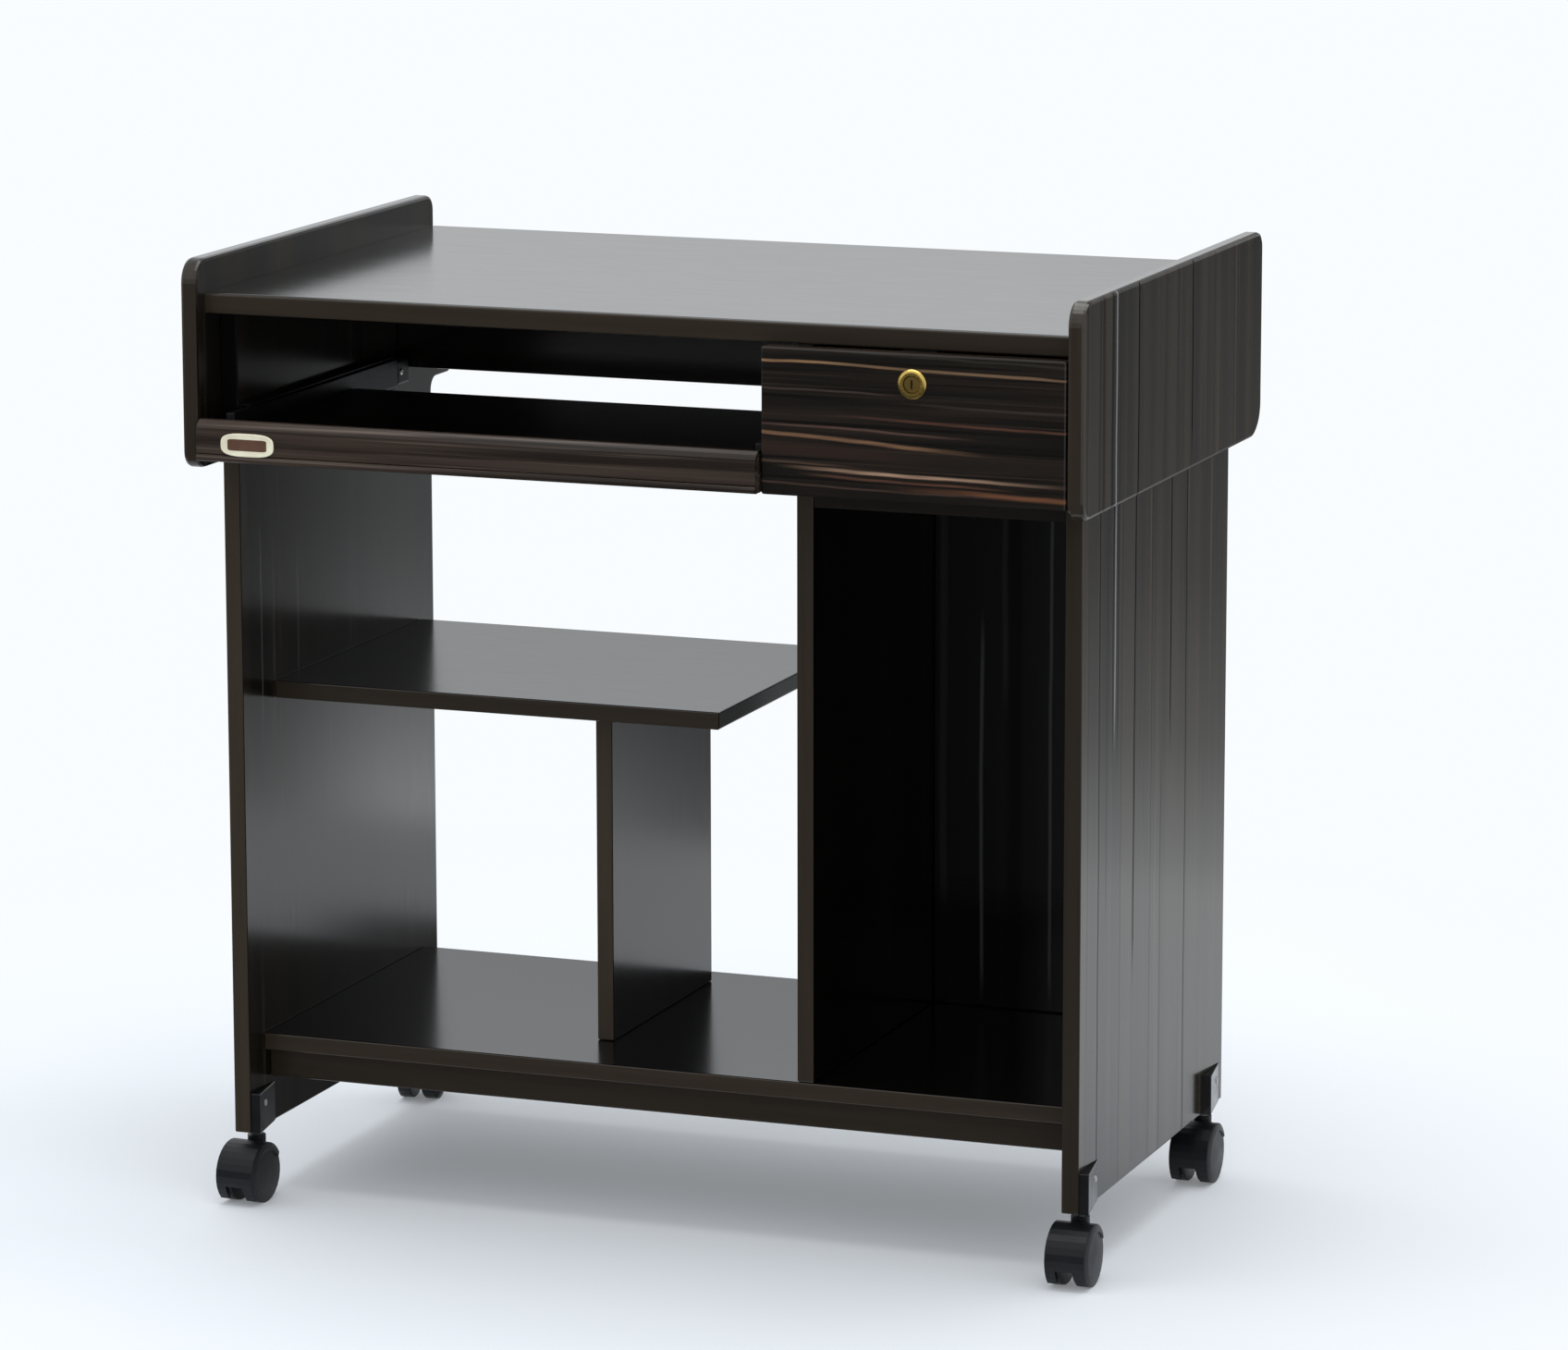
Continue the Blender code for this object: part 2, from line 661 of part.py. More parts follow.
def make_drawer():
    """The drawer: its front, its box and its slides. The group sits on the drawer's front."""
    group = add_group("drawer", (LOCK_X, DRAWER_FACE, DRAWER_BOX_Z))
    front = box(
        "drawer_front",
        (DRAWER_FRONT_LEFT, DRAWER_FACE, DRAWER_FRONT_BOTTOM),
        (DRAWER_FRONT_RIGHT, DRAWER_FRONT_BACK, DRAWER_FRONT_TOP),
        LAMINATE,
        DRAWER_FRONT_ROUND,
    )
    hold(front, group)
    hole = cylinder("lock_hole", HOUSING_RADIUS + BORE_GAP, 4 * BOARD, "Y", (LOCK_X, DRAWER_FACE, LOCK_Z), 32)
    combine(front, as_cutter(hole), "DIFFERENCE")
    make_drawer_side("drawer_left_side", DRAWER_LEFT, 1, group)
    make_drawer_side("drawer_right_side", DRAWER_RIGHT, -1, group)
    inner_left = DRAWER_LEFT + DRAWER_SIDE
    inner_right = DRAWER_RIGHT - DRAWER_SIDE
    bottom_z = DRAWER_BOX_Z + GROOVE_RISE + FIT
    tuck = GROOVE_DEPTH - FIT
    bottom = box(
        "drawer_bottom",
        (inner_left - tuck, DRAWER_FRONT_BACK + FIT, bottom_z),
        (inner_right + tuck, DRAWER_REAR, bottom_z + DRAWER_PLY),
        DRAWER_WOOD,
        0,
    )
    hold(bottom, group)
    back = box(
        "drawer_back",
        (inner_left + FIT, DRAWER_REAR - DRAWER_SIDE, bottom_z + DRAWER_PLY + FIT),
        (inner_right - FIT, DRAWER_REAR, DRAWER_BOX_Z + DRAWER_BOX_HEIGHT),
        DRAWER_WOOD,
    )
    hold(back, group)
    middle_z = DRAWER_BOX_Z + DRAWER_SLIDE_RISE
    runner_front = DRAWER_FRONT_BACK + FIT
    ends = (
        ("left", DIVIDER_RIGHT, 1, SHELF_FRONT),
        ("right", LEG_INNER, -1, FRONT + LEG_SETBACK),
    )
    for word, wall, inward, wall_front in ends:
        make_channel(f"{word}_drawer_rail", wall, inward, wall_front + SLIDE_FRONT_GAP, DRAWER_REAR, middle_z)
        make_runner(f"{word}_drawer_runner", wall, inward, runner_front, DRAWER_REAR, middle_z, group)
    make_lock(group)


def make_lock(drawer):
    """The drawer lock. Its cam lies to the right when open, and rises behind the strike when turned."""
    axis_point = (LOCK_X, DRAWER_FACE, LOCK_Z)
    tail = BOARD + LOCK_TAIL
    bore = PLUG_RADIUS + BORE_GAP
    rosette_profile = (
        (bore, ROSETTE_HEIGHT),
        (ROSETTE_RADIUS * 0.80, ROSETTE_HEIGHT),
        (ROSETTE_RADIUS * 0.93, ROSETTE_HEIGHT * 0.76),
        (ROSETTE_RADIUS, ROSETTE_HEIGHT * 0.40),
        (ROSETTE_RADIUS, FIT),
        (bore, FIT),
    )
    rosette = turned("lock_rosette", rosette_profile, 32, "Y", axis_point, BRASS, closed=True)
    hold(rosette, drawer)
    housing_profile = ((bore, 0), (HOUSING_RADIUS, 0), (HOUSING_RADIUS, -tail), (bore, -tail))
    housing = turned("lock_housing", housing_profile, 32, "Y", axis_point, BRASS, closed=True)
    hold(housing, drawer)

    turn = add_group("lock", axis_point, group=drawer)
    plug_front = ROSETTE_HEIGHT * 0.75
    plug_profile = (
        (0, plug_front),
        (PLUG_RADIUS - 0.0006, plug_front),
        (PLUG_RADIUS, plug_front - 0.0006),
        (PLUG_RADIUS, -tail - FIT),
        (0, -tail - FIT),
    )
    plug = turned("lock_plug", plug_profile, 32, "Y", axis_point, BRASS)
    keyhole = box(
        "keyhole",
        (LOCK_X - KEYHOLE_WIDTH / 2, DRAWER_FACE - plug_front - 0.001, LOCK_Z - KEYHOLE_LENGTH / 2),
        (LOCK_X + KEYHOLE_WIDTH / 2, DRAWER_FACE - plug_front + KEYHOLE_DEPTH, LOCK_Z + KEYHOLE_LENGTH / 2),
        BRASS,
        0,
    )
    combine(plug, as_cutter(keyhole), "DIFFERENCE")
    hold(plug, turn)
    half = CAM_WIDTH / 2
    cam_corners = (
        (-half, -half, half * 0.8),
        (CAM_REACH, -half, half * 0.6),
        (CAM_REACH, half, half * 0.6),
        (-half, half, half * 0.8),
    )
    cam_middle = DRAWER_FACE + tail + 2 * FIT + CAM_SHEET / 2
    cam = extruded(
        "lock_cam", rounded(cam_corners), CAM_SHEET, "Y", (LOCK_X, cam_middle, LOCK_Z), STEEL, 0
    )
    hold(cam, turn)


def make_strike():
    """An angle plate under the desk top, in front of the raised cam."""
    section = (
        (0, -STRIKE_HEIGHT),
        (STRIKE_SHEET, -STRIKE_HEIGHT),
        (STRIKE_SHEET, -STRIKE_SHEET),
        (STRIKE_FLANGE, -STRIKE_SHEET),
        (STRIKE_FLANGE, 0),
        (0, 0),
    )
    origin = (LOCK_X, DRAWER_FRONT_BACK + STRIKE_GAP, PANEL_TOP)
    extruded("lock_strike", section, STRIKE_LENGTH, "X", origin, STEEL, 0)


def make_socket(name, side, middle_y):
    """A castor socket: a wedge let into the leg panel, proud of it at the front and nearly flush at the rear."""
    left_face, right_face = socket_faces(side)
    rear_face = right_face - SOCKET_PROUD + SOCKET_REAR_PROUD
    front = middle_y - SOCKET_LENGTH / 2
    rear = middle_y + SOCKET_LENGTH / 2
    plan = ((left_face, front), (right_face, front), (rear_face, rear), (left_face, rear))
    origin = (0, 0, SOCKET_BOTTOM + SOCKET_HEIGHT / 2)
    socket = extruded(f"{name}_castor_socket", plan, SOCKET_HEIGHT, "Z", origin, BLACK_PLASTIC, 0.0008)
    depth = 2 * (PIN_LENGTH + BORE_GAP)
    leg_middle = side * (LEG_OUTER + LEG_INNER) / 2
    centre = (leg_middle + STEM_OFFSET, middle_y, SOCKET_BOTTOM)
    bore = cylinder(f"{name}_socket_bore", PIN_RADIUS + BORE_GAP, depth, "Z", centre)
    combine(socket, as_cutter(bore), "DIFFERENCE")
    return centre


def make_stem(name, centre):
    """The fixed pin of a castor, with a collar that shows between the socket and the hood."""
    collar_top = SOCKET_BOTTOM - FIT
    collar_bottom = BOSS_TOP + FIT
    profile = (
        (0, SOCKET_BOTTOM + PIN_LENGTH),
        (PIN_RADIUS - 0.001, SOCKET_BOTTOM + PIN_LENGTH),
        (PIN_RADIUS, SOCKET_BOTTOM + PIN_LENGTH - 0.001),
        (PIN_RADIUS, collar_top),
        (NECK_RADIUS, collar_top),
        (NECK_RADIUS, collar_bottom),
        (LOWER_PIN_RADIUS, collar_bottom),
        (LOWER_PIN_RADIUS, BOSS_TOP - LOWER_PIN_LENGTH),
        (0, BOSS_TOP - LOWER_PIN_LENGTH),
    )
    turned(f"{name}_castor_stem", profile, 20, "Z", (centre[0], centre[1], 0), STEEL)


def around_axle(radius, degrees):
    """A point in a castor's side view, at an angle from straight up, positive towards the trailing side."""
    angle = math.radians(degrees)
    return (-TRAIL - radius * math.sin(angle), AXLE_Z + radius * math.cos(angle))


def hood_angles(start, end, steps):
    """Even angles from start to end."""
    return [start + (end - start) * step / steps for step in range(steps + 1)]


def dome(radius, share):
    """Radius of a castor's domed side, at a share of the way from its tread to its middle."""
    return radius * (1 - abs(share) ** DOME_POWER) ** (1 / DOME_POWER)


def hood_section(radius, clearance):
    """Points (across, radius) of the hood's shell: a barrel over both wheels with rounded shoulders."""
    tread_end = WEB_THICKNESS / 2 + WHEEL_GAP + WHEEL_WIDTH * TREAD_SHARE
    reach = WHEEL_WIDTH * (1 - TREAD_SHARE) + clearance
    half = [(tread_end + share * reach, dome(radius, share)) for share in HOOD_STATIONS]
    return [(-across, height) for across, height in reversed(half)] + half


def shell_mesh(name, outer, inner, angles):
    """A closed shell swept around a castor's axle between two sections of as many points."""
    loop = outer + inner[::-1]
    count = len(loop)
    vertices = []
    for angle in angles:
        for across, radius in loop:
            vertices.append((across, *around_axle(radius, angle)))
    faces = []
    for ring in range(len(angles) - 1):
        for index in range(count):
            after = (index + 1) % count
            near = ring * count
            far = near + count
            faces.append((near + index, near + after, far + after, far + index))
    last = (len(angles) - 1) * count
    for index in range(len(outer) - 1):
        end = (index, count - 1 - index, count - 2 - index, index + 1)
        faces.append(end)
        faces.append(tuple(last + corner for corner in reversed(end)))
    mesh = bpy.data.meshes.new(name)
    mesh.from_pydata(vertices, [], faces)
    form = bmesh.new()
    form.from_mesh(mesh)
    bmesh.ops.recalc_face_normals(form, faces=form.faces)
    form.to_mesh(mesh)
    form.free()
    return mesh


def make_hood(name, swivel):
    """A castor's hood: a domed shell over both wheels, a web between them and a boss for the stem."""
    outer = hood_section(HOOD_OUTER_RADIUS, HOOD_CLEARANCE + HOOD_WALL)
    inner = hood_section(HOOD_INNER_RADIUS, HOOD_CLEARANCE)
    sweep = hood_angles(HOOD_BACK_ANGLE, HOOD_FRONT_ANGLE, 16)
    mesh = shell_mesh(f"{name}_castor_hood", outer, inner, sweep)
    hood = add_object(mesh.name, mesh, (0, 0, 0), ALONG["Z"], BLACK_PLASTIC)
    hood.parent = swivel

    web_radius = (HOOD_OUTER_RADIUS + HOOD_INNER_RADIUS) / 2
    web_points = [around_axle(web_radius, angle) for angle in hood_angles(-96, HOOD_FRONT_ANGLE - 6, 20)]
    web_points += [around_axle(HUB_RADIUS, angle) for angle in hood_angles(140, 244, 8)]
    web = extruded(f"{name}_web", web_points, WEB_THICKNESS, "X", (0, 0, 0), BLACK_PLASTIC, 0)
    combine(hood, as_cutter(web, swivel), "UNION")

    boss_bottom = AXLE_Z + HUB_RADIUS
    boss_middle = (0, 0, (BOSS_TOP + boss_bottom) / 2)
    boss = cylinder(f"{name}_boss", BOSS_RADIUS, BOSS_TOP - boss_bottom, "Z", boss_middle)
    wheel_room = cylinder(
        f"{name}_wheel_room", web_radius, 4 * WHEEL_WIDTH, "X", (0, -TRAIL, AXLE_Z), 48
    )
    combine(boss, as_cutter(wheel_room, swivel), "DIFFERENCE")
    combine(hood, as_cutter(boss, swivel), "UNION")

    bore_radius = LOWER_PIN_RADIUS + BORE_GAP
    bore_length = 2 * (LOWER_PIN_LENGTH + BORE_GAP)
    bore = cylinder(f"{name}_stem_bore", bore_radius, bore_length, "Z", (0, 0, BOSS_TOP), 20)
    combine(hood, as_cutter(bore, swivel), "DIFFERENCE")
    axle_hole = cylinder(
        f"{name}_axle_hole", AXLE_RADIUS + BORE_GAP, WHEEL_WIDTH, "X", (0, -TRAIL, AXLE_Z), 20
    )
    combine(hood, as_cutter(axle_hole, swivel), "DIFFERENCE")
    notch = box(
        f"{name}_notch",
        (-HOOD_NOTCH_WIDTH / 2, -TRAIL - 2 * HOOD_OUTER_RADIUS, -AXLE_Z),
        (HOOD_NOTCH_WIDTH / 2, -TRAIL - HUB_RADIUS - AXLE_RADIUS, HOOD_NOTCH_HEIGHT),
        BLACK_PLASTIC,
        0,
    )
    combine(hood, as_cutter(notch, swivel), "DIFFERENCE")


def wheel_profile():
    """Half section of a wheel: a slightly domed outer face, a flat tread and a blind axle bore."""
    corner_radius = WHEEL_RADIUS / math.cos(math.pi / WHEEL_SIDES)
    tread = WHEEL_WIDTH * TREAD_SHARE
    bore = AXLE_RADIUS + BORE_GAP
    bore_end = WHEEL_WIDTH * 0.72
    points = []
    for share in (1.0, 0.94, 0.78, 0.58, 0.37, 0.17, 0.0):
        points.append((dome(corner_radius, share), tread + share * (WHEEL_WIDTH - tread)))
    points += [(corner_radius, WHEEL_WIDTH * 0.08), (corner_radius * 0.96, 0)]
    return points + [(bore, 0), (bore, bore_end), (0, bore_end)]


def make_castor(name, side, place, angle):
    """A castor: socket and stem fixed in the leg panel, hood and axle that swivel, two wheels that spin."""
    centre = make_socket(name, side, socket_middle(place))
    make_stem(name, centre)
    swivel = add_group(f"{name}_castor", (centre[0], centre[1], 0), angle)
    make_hood(name, swivel)
    inner = WEB_THICKNESS / 2 + WHEEL_GAP
    reach = inner + WHEEL_WIDTH * 0.70
    axle_profile = ((0, reach), (AXLE_RADIUS, reach), (AXLE_RADIUS, -reach), (0, -reach))
    axle = turned(f"{name}_castor_axle", axle_profile, 16, "X", (0, -TRAIL, AXLE_Z), STEEL)
    axle.parent = swivel
    for word, direction, axis in (("left", -1, "-X"), ("right", 1, "X")):
        hub = (direction * inner, -TRAIL, AXLE_Z)
        wheel = turned(
            f"{name}_castor_{word}_wheel", wheel_profile(), WHEEL_SIDES, axis, hub, WHEEL_PLASTIC
        )
        wheel.parent = swivel


make_carcass()
make_tray()
make_drawer()
make_strike()
for castor in CASTORS:
    make_castor(*castor)
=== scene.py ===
"""Looks of the computer table: camera, studio, materials and the small visible pieces.

Metres, Z up, front towards -Y, in the same frame as the part's solids.
"""

import math

import bpy
from mathutils import Matrix, Vector


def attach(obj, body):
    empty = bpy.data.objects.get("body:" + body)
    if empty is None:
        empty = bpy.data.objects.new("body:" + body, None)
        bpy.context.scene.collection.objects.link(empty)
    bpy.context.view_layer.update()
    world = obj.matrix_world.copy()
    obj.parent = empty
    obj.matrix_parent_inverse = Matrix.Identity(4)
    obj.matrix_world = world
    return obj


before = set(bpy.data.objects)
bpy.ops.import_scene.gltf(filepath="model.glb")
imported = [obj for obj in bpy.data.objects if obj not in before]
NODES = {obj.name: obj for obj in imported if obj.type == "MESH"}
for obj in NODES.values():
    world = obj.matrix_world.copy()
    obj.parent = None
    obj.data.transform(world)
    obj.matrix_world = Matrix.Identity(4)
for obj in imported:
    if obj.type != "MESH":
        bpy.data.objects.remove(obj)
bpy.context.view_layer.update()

# Camera
CAMERA_PLACE = (2.0083, -5.2109, 1.5417)
CAMERA_AIM = (-0.34532, 0.91889, -0.19079)
CAMERA_UP = (-0.06581, 0.17908, 0.98163)
CAMERA_LENS = 151.044
CAMERA_REACH = 200
SENSOR_WIDTH = 36.0

# Light
WORLD_TINT = (0.95, 0.977, 1.0)
WORLD_LIGHT = 0.80
WORLD_SEEN = 1.0
LAMP_PLACE = (0.0, -0.1, 2.7)
LAMP_AIM = (0.0, 0.0, 0.8)
LAMP_SIZE = (2.2, 1.8)
LAMP_RADIANCE = 3.0

# Floor: how far it reaches, how far left the middle of its shaded part lies, the ring in which it turns to
# plain white, and how white it is inside that ring
FLOOR_REACH = 60
FLOOR_SHIFT = 0.12
FLOOR_RING = (0.45, 1.5)
FLOOR_NEAR_WHITE = 0.15
FLOOR_DARK = (0.860, 0.900, 0.955)
FLOOR_LIGHT = (0.890, 0.930, 0.985)

# Strengths of the reflected cards by height, and shares by place from left to right
BACK_LEVELS = ((0.75, 0.60), (1.42, 1.12))
RIGHT_LEVELS = (
    (0.0, 0.86), (0.15, 0.40), (0.33, 0.215), (0.5, 0.165), (0.6, 0.155), (0.72, 0.12), (0.8, 0.05),
)
RIGHT_SHARES = ((0.05, 1.9), (0.10, 2.6), (0.20, 2.3), (0.28, 0.45), (0.42, 0.38), (0.48, 1.0))
UPPER_LEVELS = ((0.0, 1.0),)
UPPER_SHARES = ((0.09, 1.0), (0.16, 0.36))
FLOOR_CARD_LEVELS = ((0.0, 0.10),)
WALL_LEVELS = ((0.0, 0.07),)

# The blank plate: its middle and size in X and Z, its back and front in Y, how deep its field lies, the size
# of the bar in it, and how square both outlines are
BADGE_CENTRE = (-0.3368, 0.6764)
BADGE_SIZE = (0.0488, 0.0197)
BADGE_BACK = -0.2523
BADGE_FRONT = -0.2539
BADGE_DEPTH = 0.0004
BADGE_BAR_SIZE = (0.036, 0.0098)
PLATE_POWER = 3.2
BAR_POWER = 9.0

# Screws on the castor sockets: the Y of each socket's front edge, its face's lean, then by side the X of that
# face at the edge, how far behind the edge the screw sits and how high, and the screw's radius and height
SOCKET_EDGES = {"front": -0.198, "rear": 0.149}
SOCKET_LEAN = -0.1646
SOCKET_SCREWS = {"left": (-0.3612, 0.0178, 0.0865), "right": (0.3932, 0.0360, 0.0850)}
SOCKET_SCREW_SIZE = (0.0032, 0.0013)

# Screws on the tray's rear stops: by side the X of the stop's face and the way it faces, then the screw's Y
# and Z, and its radius and height
STOP_SCREWS = {"left": (-0.3572, 1), "right": (0.1122, -1)}
STOP_SCREW_PLACE = (0.1135, 0.6875)
STOP_SCREW_SIZE = (0.0030, 0.0012)


def srgb(*levels):
    """A colour given as display levels, as the shader takes it."""
    shares = [level / 255 for level in levels]
    return tuple(s / 12.92 if s < 0.04045 else ((s + 0.055) / 1.055) ** 2.4 for s in shares)


def toned(colour, tone):
    """A colour made darker or lighter."""
    return tuple(min(1.0, part * tone) for part in colour)


def collection_link(item):
    """Put an object into the scene."""
    bpy.context.scene.collection.objects.link(item)
    return item


def place_camera():
    """The camera at the photograph's viewing angle."""
    data = bpy.data.cameras.new("camera")
    data.sensor_fit = "HORIZONTAL"
    data.sensor_width = SENSOR_WIDTH
    data.lens = CAMERA_LENS
    data.clip_end = CAMERA_REACH
    camera = collection_link(bpy.data.objects.new("camera", data))
    camera.location = CAMERA_PLACE
    aim = Vector(CAMERA_AIM).normalized()
    right = aim.cross(Vector(CAMERA_UP)).normalized()
    up = right.cross(aim)
    camera.rotation_euler = Matrix((right, up, -aim)).transposed().to_euler()
    bpy.context.scene.camera = camera


# Noise in the materials, and how far a surface has to face a way to count as facing it
NOISE_ROUGHNESS = 0.55
END_FACING = (0.55, 0.85)
MARK_FACING = (0.2, 0.6)


class Graph:
    """A material's node tree, with short ways to add its nodes."""

    def __init__(self, name):
        self.material = bpy.data.materials.new(name)
        self.material.use_nodes = True
        self.tree = self.material.node_tree
        self.shader = self.tree.nodes["Principled BSDF"]
        self.output = self.tree.nodes["Material Output"]
        self.coordinates = self.node("ShaderNodeTexCoord")
        self.place = self.coordinates.outputs["Object"]

    def node(self, kind, **settings):
        """Add a node with some of its settings."""
        item = self.tree.nodes.new(kind)
        for key, value in settings.items():
            setattr(item, key, value)
        return item

    def feed(self, socket, value):
        """Give a socket a value, or the output of another node."""
        if isinstance(value, bpy.types.NodeSocket):
            self.tree.links.new(value, socket)
        elif socket.type == "RGBA":
            socket.default_value = (*value, 1.0)
        else:
            socket.default_value = value

    def set(self, **inputs):
        """Set inputs of the shader, with _ for a space in the name."""
        for key, value in inputs.items():
            self.feed(self.shader.inputs[key.replace("_", " ")], value)

    def math(self, operation, first, second=0.0, third=0.0):
        """A number from a sum or other operation."""
        item = self.node("ShaderNodeMath", operation=operation)
        for socket, value in zip(item.inputs, (first, second, third)):
            self.feed(socket, value)
        return item.outputs[0]

    def split(self, vector):
        """The three parts of a vector as numbers."""
        item = self.node("ShaderNodeSeparateXYZ")
        self.feed(item.inputs[0], vector)
        return item.outputs

    def axes(self):
        """The three object coordinates as numbers."""
        return self.split(self.place)

    def scaled(self, scale, shift=(0, 0, 0)):
        """The object coordinates, stretched and shifted."""
        item = self.node("ShaderNodeMapping")
        self.feed(item.inputs["Vector"], self.place)
        self.feed(item.inputs["Scale"], scale)
        self.feed(item.inputs["Location"], shift)
        return item.outputs[0]

    def noise(self, vector, detail):
        """Smooth noise, 0 to 1."""
        item = self.node("ShaderNodeTexNoise")
        self.feed(item.inputs["Vector"], vector)
        self.feed(item.inputs["Scale"], 1.0)
        self.feed(item.inputs["Detail"], detail)
        self.feed(item.inputs["Roughness"], NOISE_ROUGHNESS)
        return item.outputs["Fac"]

    def spread(self, value, low, high, out_low=0.0, out_high=1.0, smooth=True):
        """A number moved from one range to another and held there."""
        item = self.node("ShaderNodeMapRange", clamp=True)
        item.interpolation_type = "SMOOTHSTEP" if smooth else "LINEAR"
        numbers = (value, low, high, out_low, out_high)
        for key, number in zip(("Value", "From Min", "From Max", "To Min", "To Max"), numbers):
            self.feed(item.inputs[key], number)
        return item.outputs["Result"]

    def mix(self, share, first, second):
        """One colour blended with another."""
        item = self.node("ShaderNodeMix", data_type="RGBA")
        self.feed(item.inputs[0], share)
        self.feed(item.inputs[6], first)
        self.feed(item.inputs[7], second)
        return item.outputs[2]

    def bump(self, height, strength, distance):
        """A bumped normal on the shader."""
        item = self.node("ShaderNodeBump")
        self.feed(item.inputs["Height"], height)
        self.feed(item.inputs["Strength"], strength)
        self.feed(item.inputs["Distance"], distance)
        self.feed(self.shader.inputs["Normal"], item.outputs[0])

    def normal(self):
        """The three parts of the surface's direction."""
        return self.split(self.coordinates.outputs["Normal"])

    def end_grain(self):
        """How far a surface faces the front or the rear."""
        return self.spread(self.math("ABSOLUTE", self.normal()[1]), *END_FACING)


# Laminate colours
EBONY_DARK = (0.0050, 0.0040, 0.0030)
EBONY_MIDDLE = (0.0132, 0.0100, 0.0062)
EBONY_LIGHT = (0.053, 0.036, 0.021)
EBONY_BLACK = (0.0020, 0.0017, 0.0015)
BAND_DARK = (0.026, 0.0192, 0.0130)
BAND_LIGHT = (0.042, 0.0312, 0.0212)
RAIL_DARK = (0.018, 0.0125, 0.0092)
RAIL_MIDDLE = (0.054, 0.0380, 0.0290)
RAIL_LIGHT = (0.150, 0.112, 0.092)
DRAWER_DARK = srgb(20, 17, 14)
DRAWER_MIDDLE = srgb(38, 31, 26)
DRAWER_LIGHT = srgb(58, 46, 38)

# Laminate grain: features per metre across and along it
FIGURE_GRAIN = (38, 0.9)
LINE_GRAIN = (120, 1.4)
VEIN_GRAIN = (150, 1.1)
BAND_GRAIN = (160, 6)
PORE_GRAIN = (900, 22)

# Laminate grain of the drawer front and the tray rail: features per metre in X, Y and Z
DRAWER_CLOUD = (3, 20, 70)
DRAWER_FINE = (2.5, 20, 330)
DRAWER_WAVE = (9, 9, 20)
DRAWER_FIBRE = (26, 20, 900)
RAIL_FIGURE = (2.0, 60, 110)
RAIL_FIBRE = (3.0, 240, 420)

# Where in the noise each board, the drawer front and the tray rail take their grain
BOARD_STEP = (7.31, 3.17, 5.73)
DRAWER_OFFSET = (3.1, 7.7, 1.9)
RAIL_OFFSET = (2.3, 5.1, 8.7)

# Gloss: refraction, specular level, how far roughness swings, and the strength and depth of the bumps
LAMINATE_IOR = 1.42
FOIL_IOR = 1.27
PLAIN_SHINE = 0.5
DRAWER_SHINE = 0.12
GLOSS_SWING = (-0.03, 0.05)
PLASTIC_SWING = (-0.05, 0.06)
METAL_SWING = (-0.06, 0.08)
GLOSS_BUMP = (0.06, 0.0002)
PLASTIC_BUMP = (0.12, 0.0002)
METAL_BUMP = (0.05, 0.0001)

# Plastics and metals: features per metre, refraction, then colours
CLOUDY_PLASTIC = (60, 60, 60)
GRITTY_PLASTIC = (1400, 1400, 1400)
CLOUDY_METAL = (70, 70, 70)
DRAWN_METAL = (1500, 40)
SOCKET_IOR = 1.47
CASTOR_IOR = 1.36
BADGE_IOR = 1.35
SOCKET_BLACK = (0.008, 0.008, 0.009)
HOOD_BLACK = (0.005, 0.006, 0.008)
WHEEL_BLACK = (0.006, 0.007, 0.009)
CREAM = (0.88, 0.745, 0.56)
BROWN = (0.11, 0.052, 0.030)
SLIDE_GREY = (0.035, 0.035, 0.038)
# Painted shade: the stems' steel is drawn much darker than the axles' zinc, for the shade under the table.
SHADED_STEM_STEEL = (0.15, 0.15, 0.16)
ZINC = (0.62, 0.62, 0.63)
SCREW_STEEL = (0.58, 0.57, 0.54)
BRASS = (0.72, 0.50, 0.13)
DARK_BRASS = (0.38, 0.26, 0.08)

# Boards: grain axis, tone of the faces, tone of the front and rear edges (none on a board that faces the
# front), roughness. The tones are painted light and shade: inner boards, level tops and inner edges are
# darker copies of one laminate for the shade in and under the table, and the right side's boards lighter
# copies for its light.
BOARDS = {
    "left_cheek": ("Z", 1.0, 0.85, 0.16),
    "right_cheek": ("Z", 2.4, 0.85, 0.16),
    "left_leg_panel": ("Z", 1.0, 1.2, 0.16),
    "right_leg_panel": ("Z", 2.0, 0.75, 0.16),
    "divider_panel": ("Z", 0.12, 0.95, 0.16),
    "bay_back_panel": ("Z", 0.20, None, 0.16),
    "rear_rail": ("X", 0.12, 0.10, 0.16),
    "drawer_shelf": ("X", 0.12, 0.35, 0.16),
    "bottom_shelf": ("X", 0.12, 1.0, 0.17),
    "toe_rail": ("X", 0.50, 0.8, 0.16),
    "printer_shelf": ("X", 0.12, 0.85, 0.18),
    "shelf_support": ("Z", 0.7, 1.45, 0.16),
    "desk_top": ("X", 0.30, 0.9, 0.15),
    "tray_board": ("X", 0.30, 0.9, 0.16),
}
# The height above which a board's edge is painted black as shade under the cheek and the desk top, and how
# softly its brown band ends there
SHADED_EDGE_ABOVE = {"left_leg_panel": 0.685}
SHADED_EDGE_FADE = 0.004

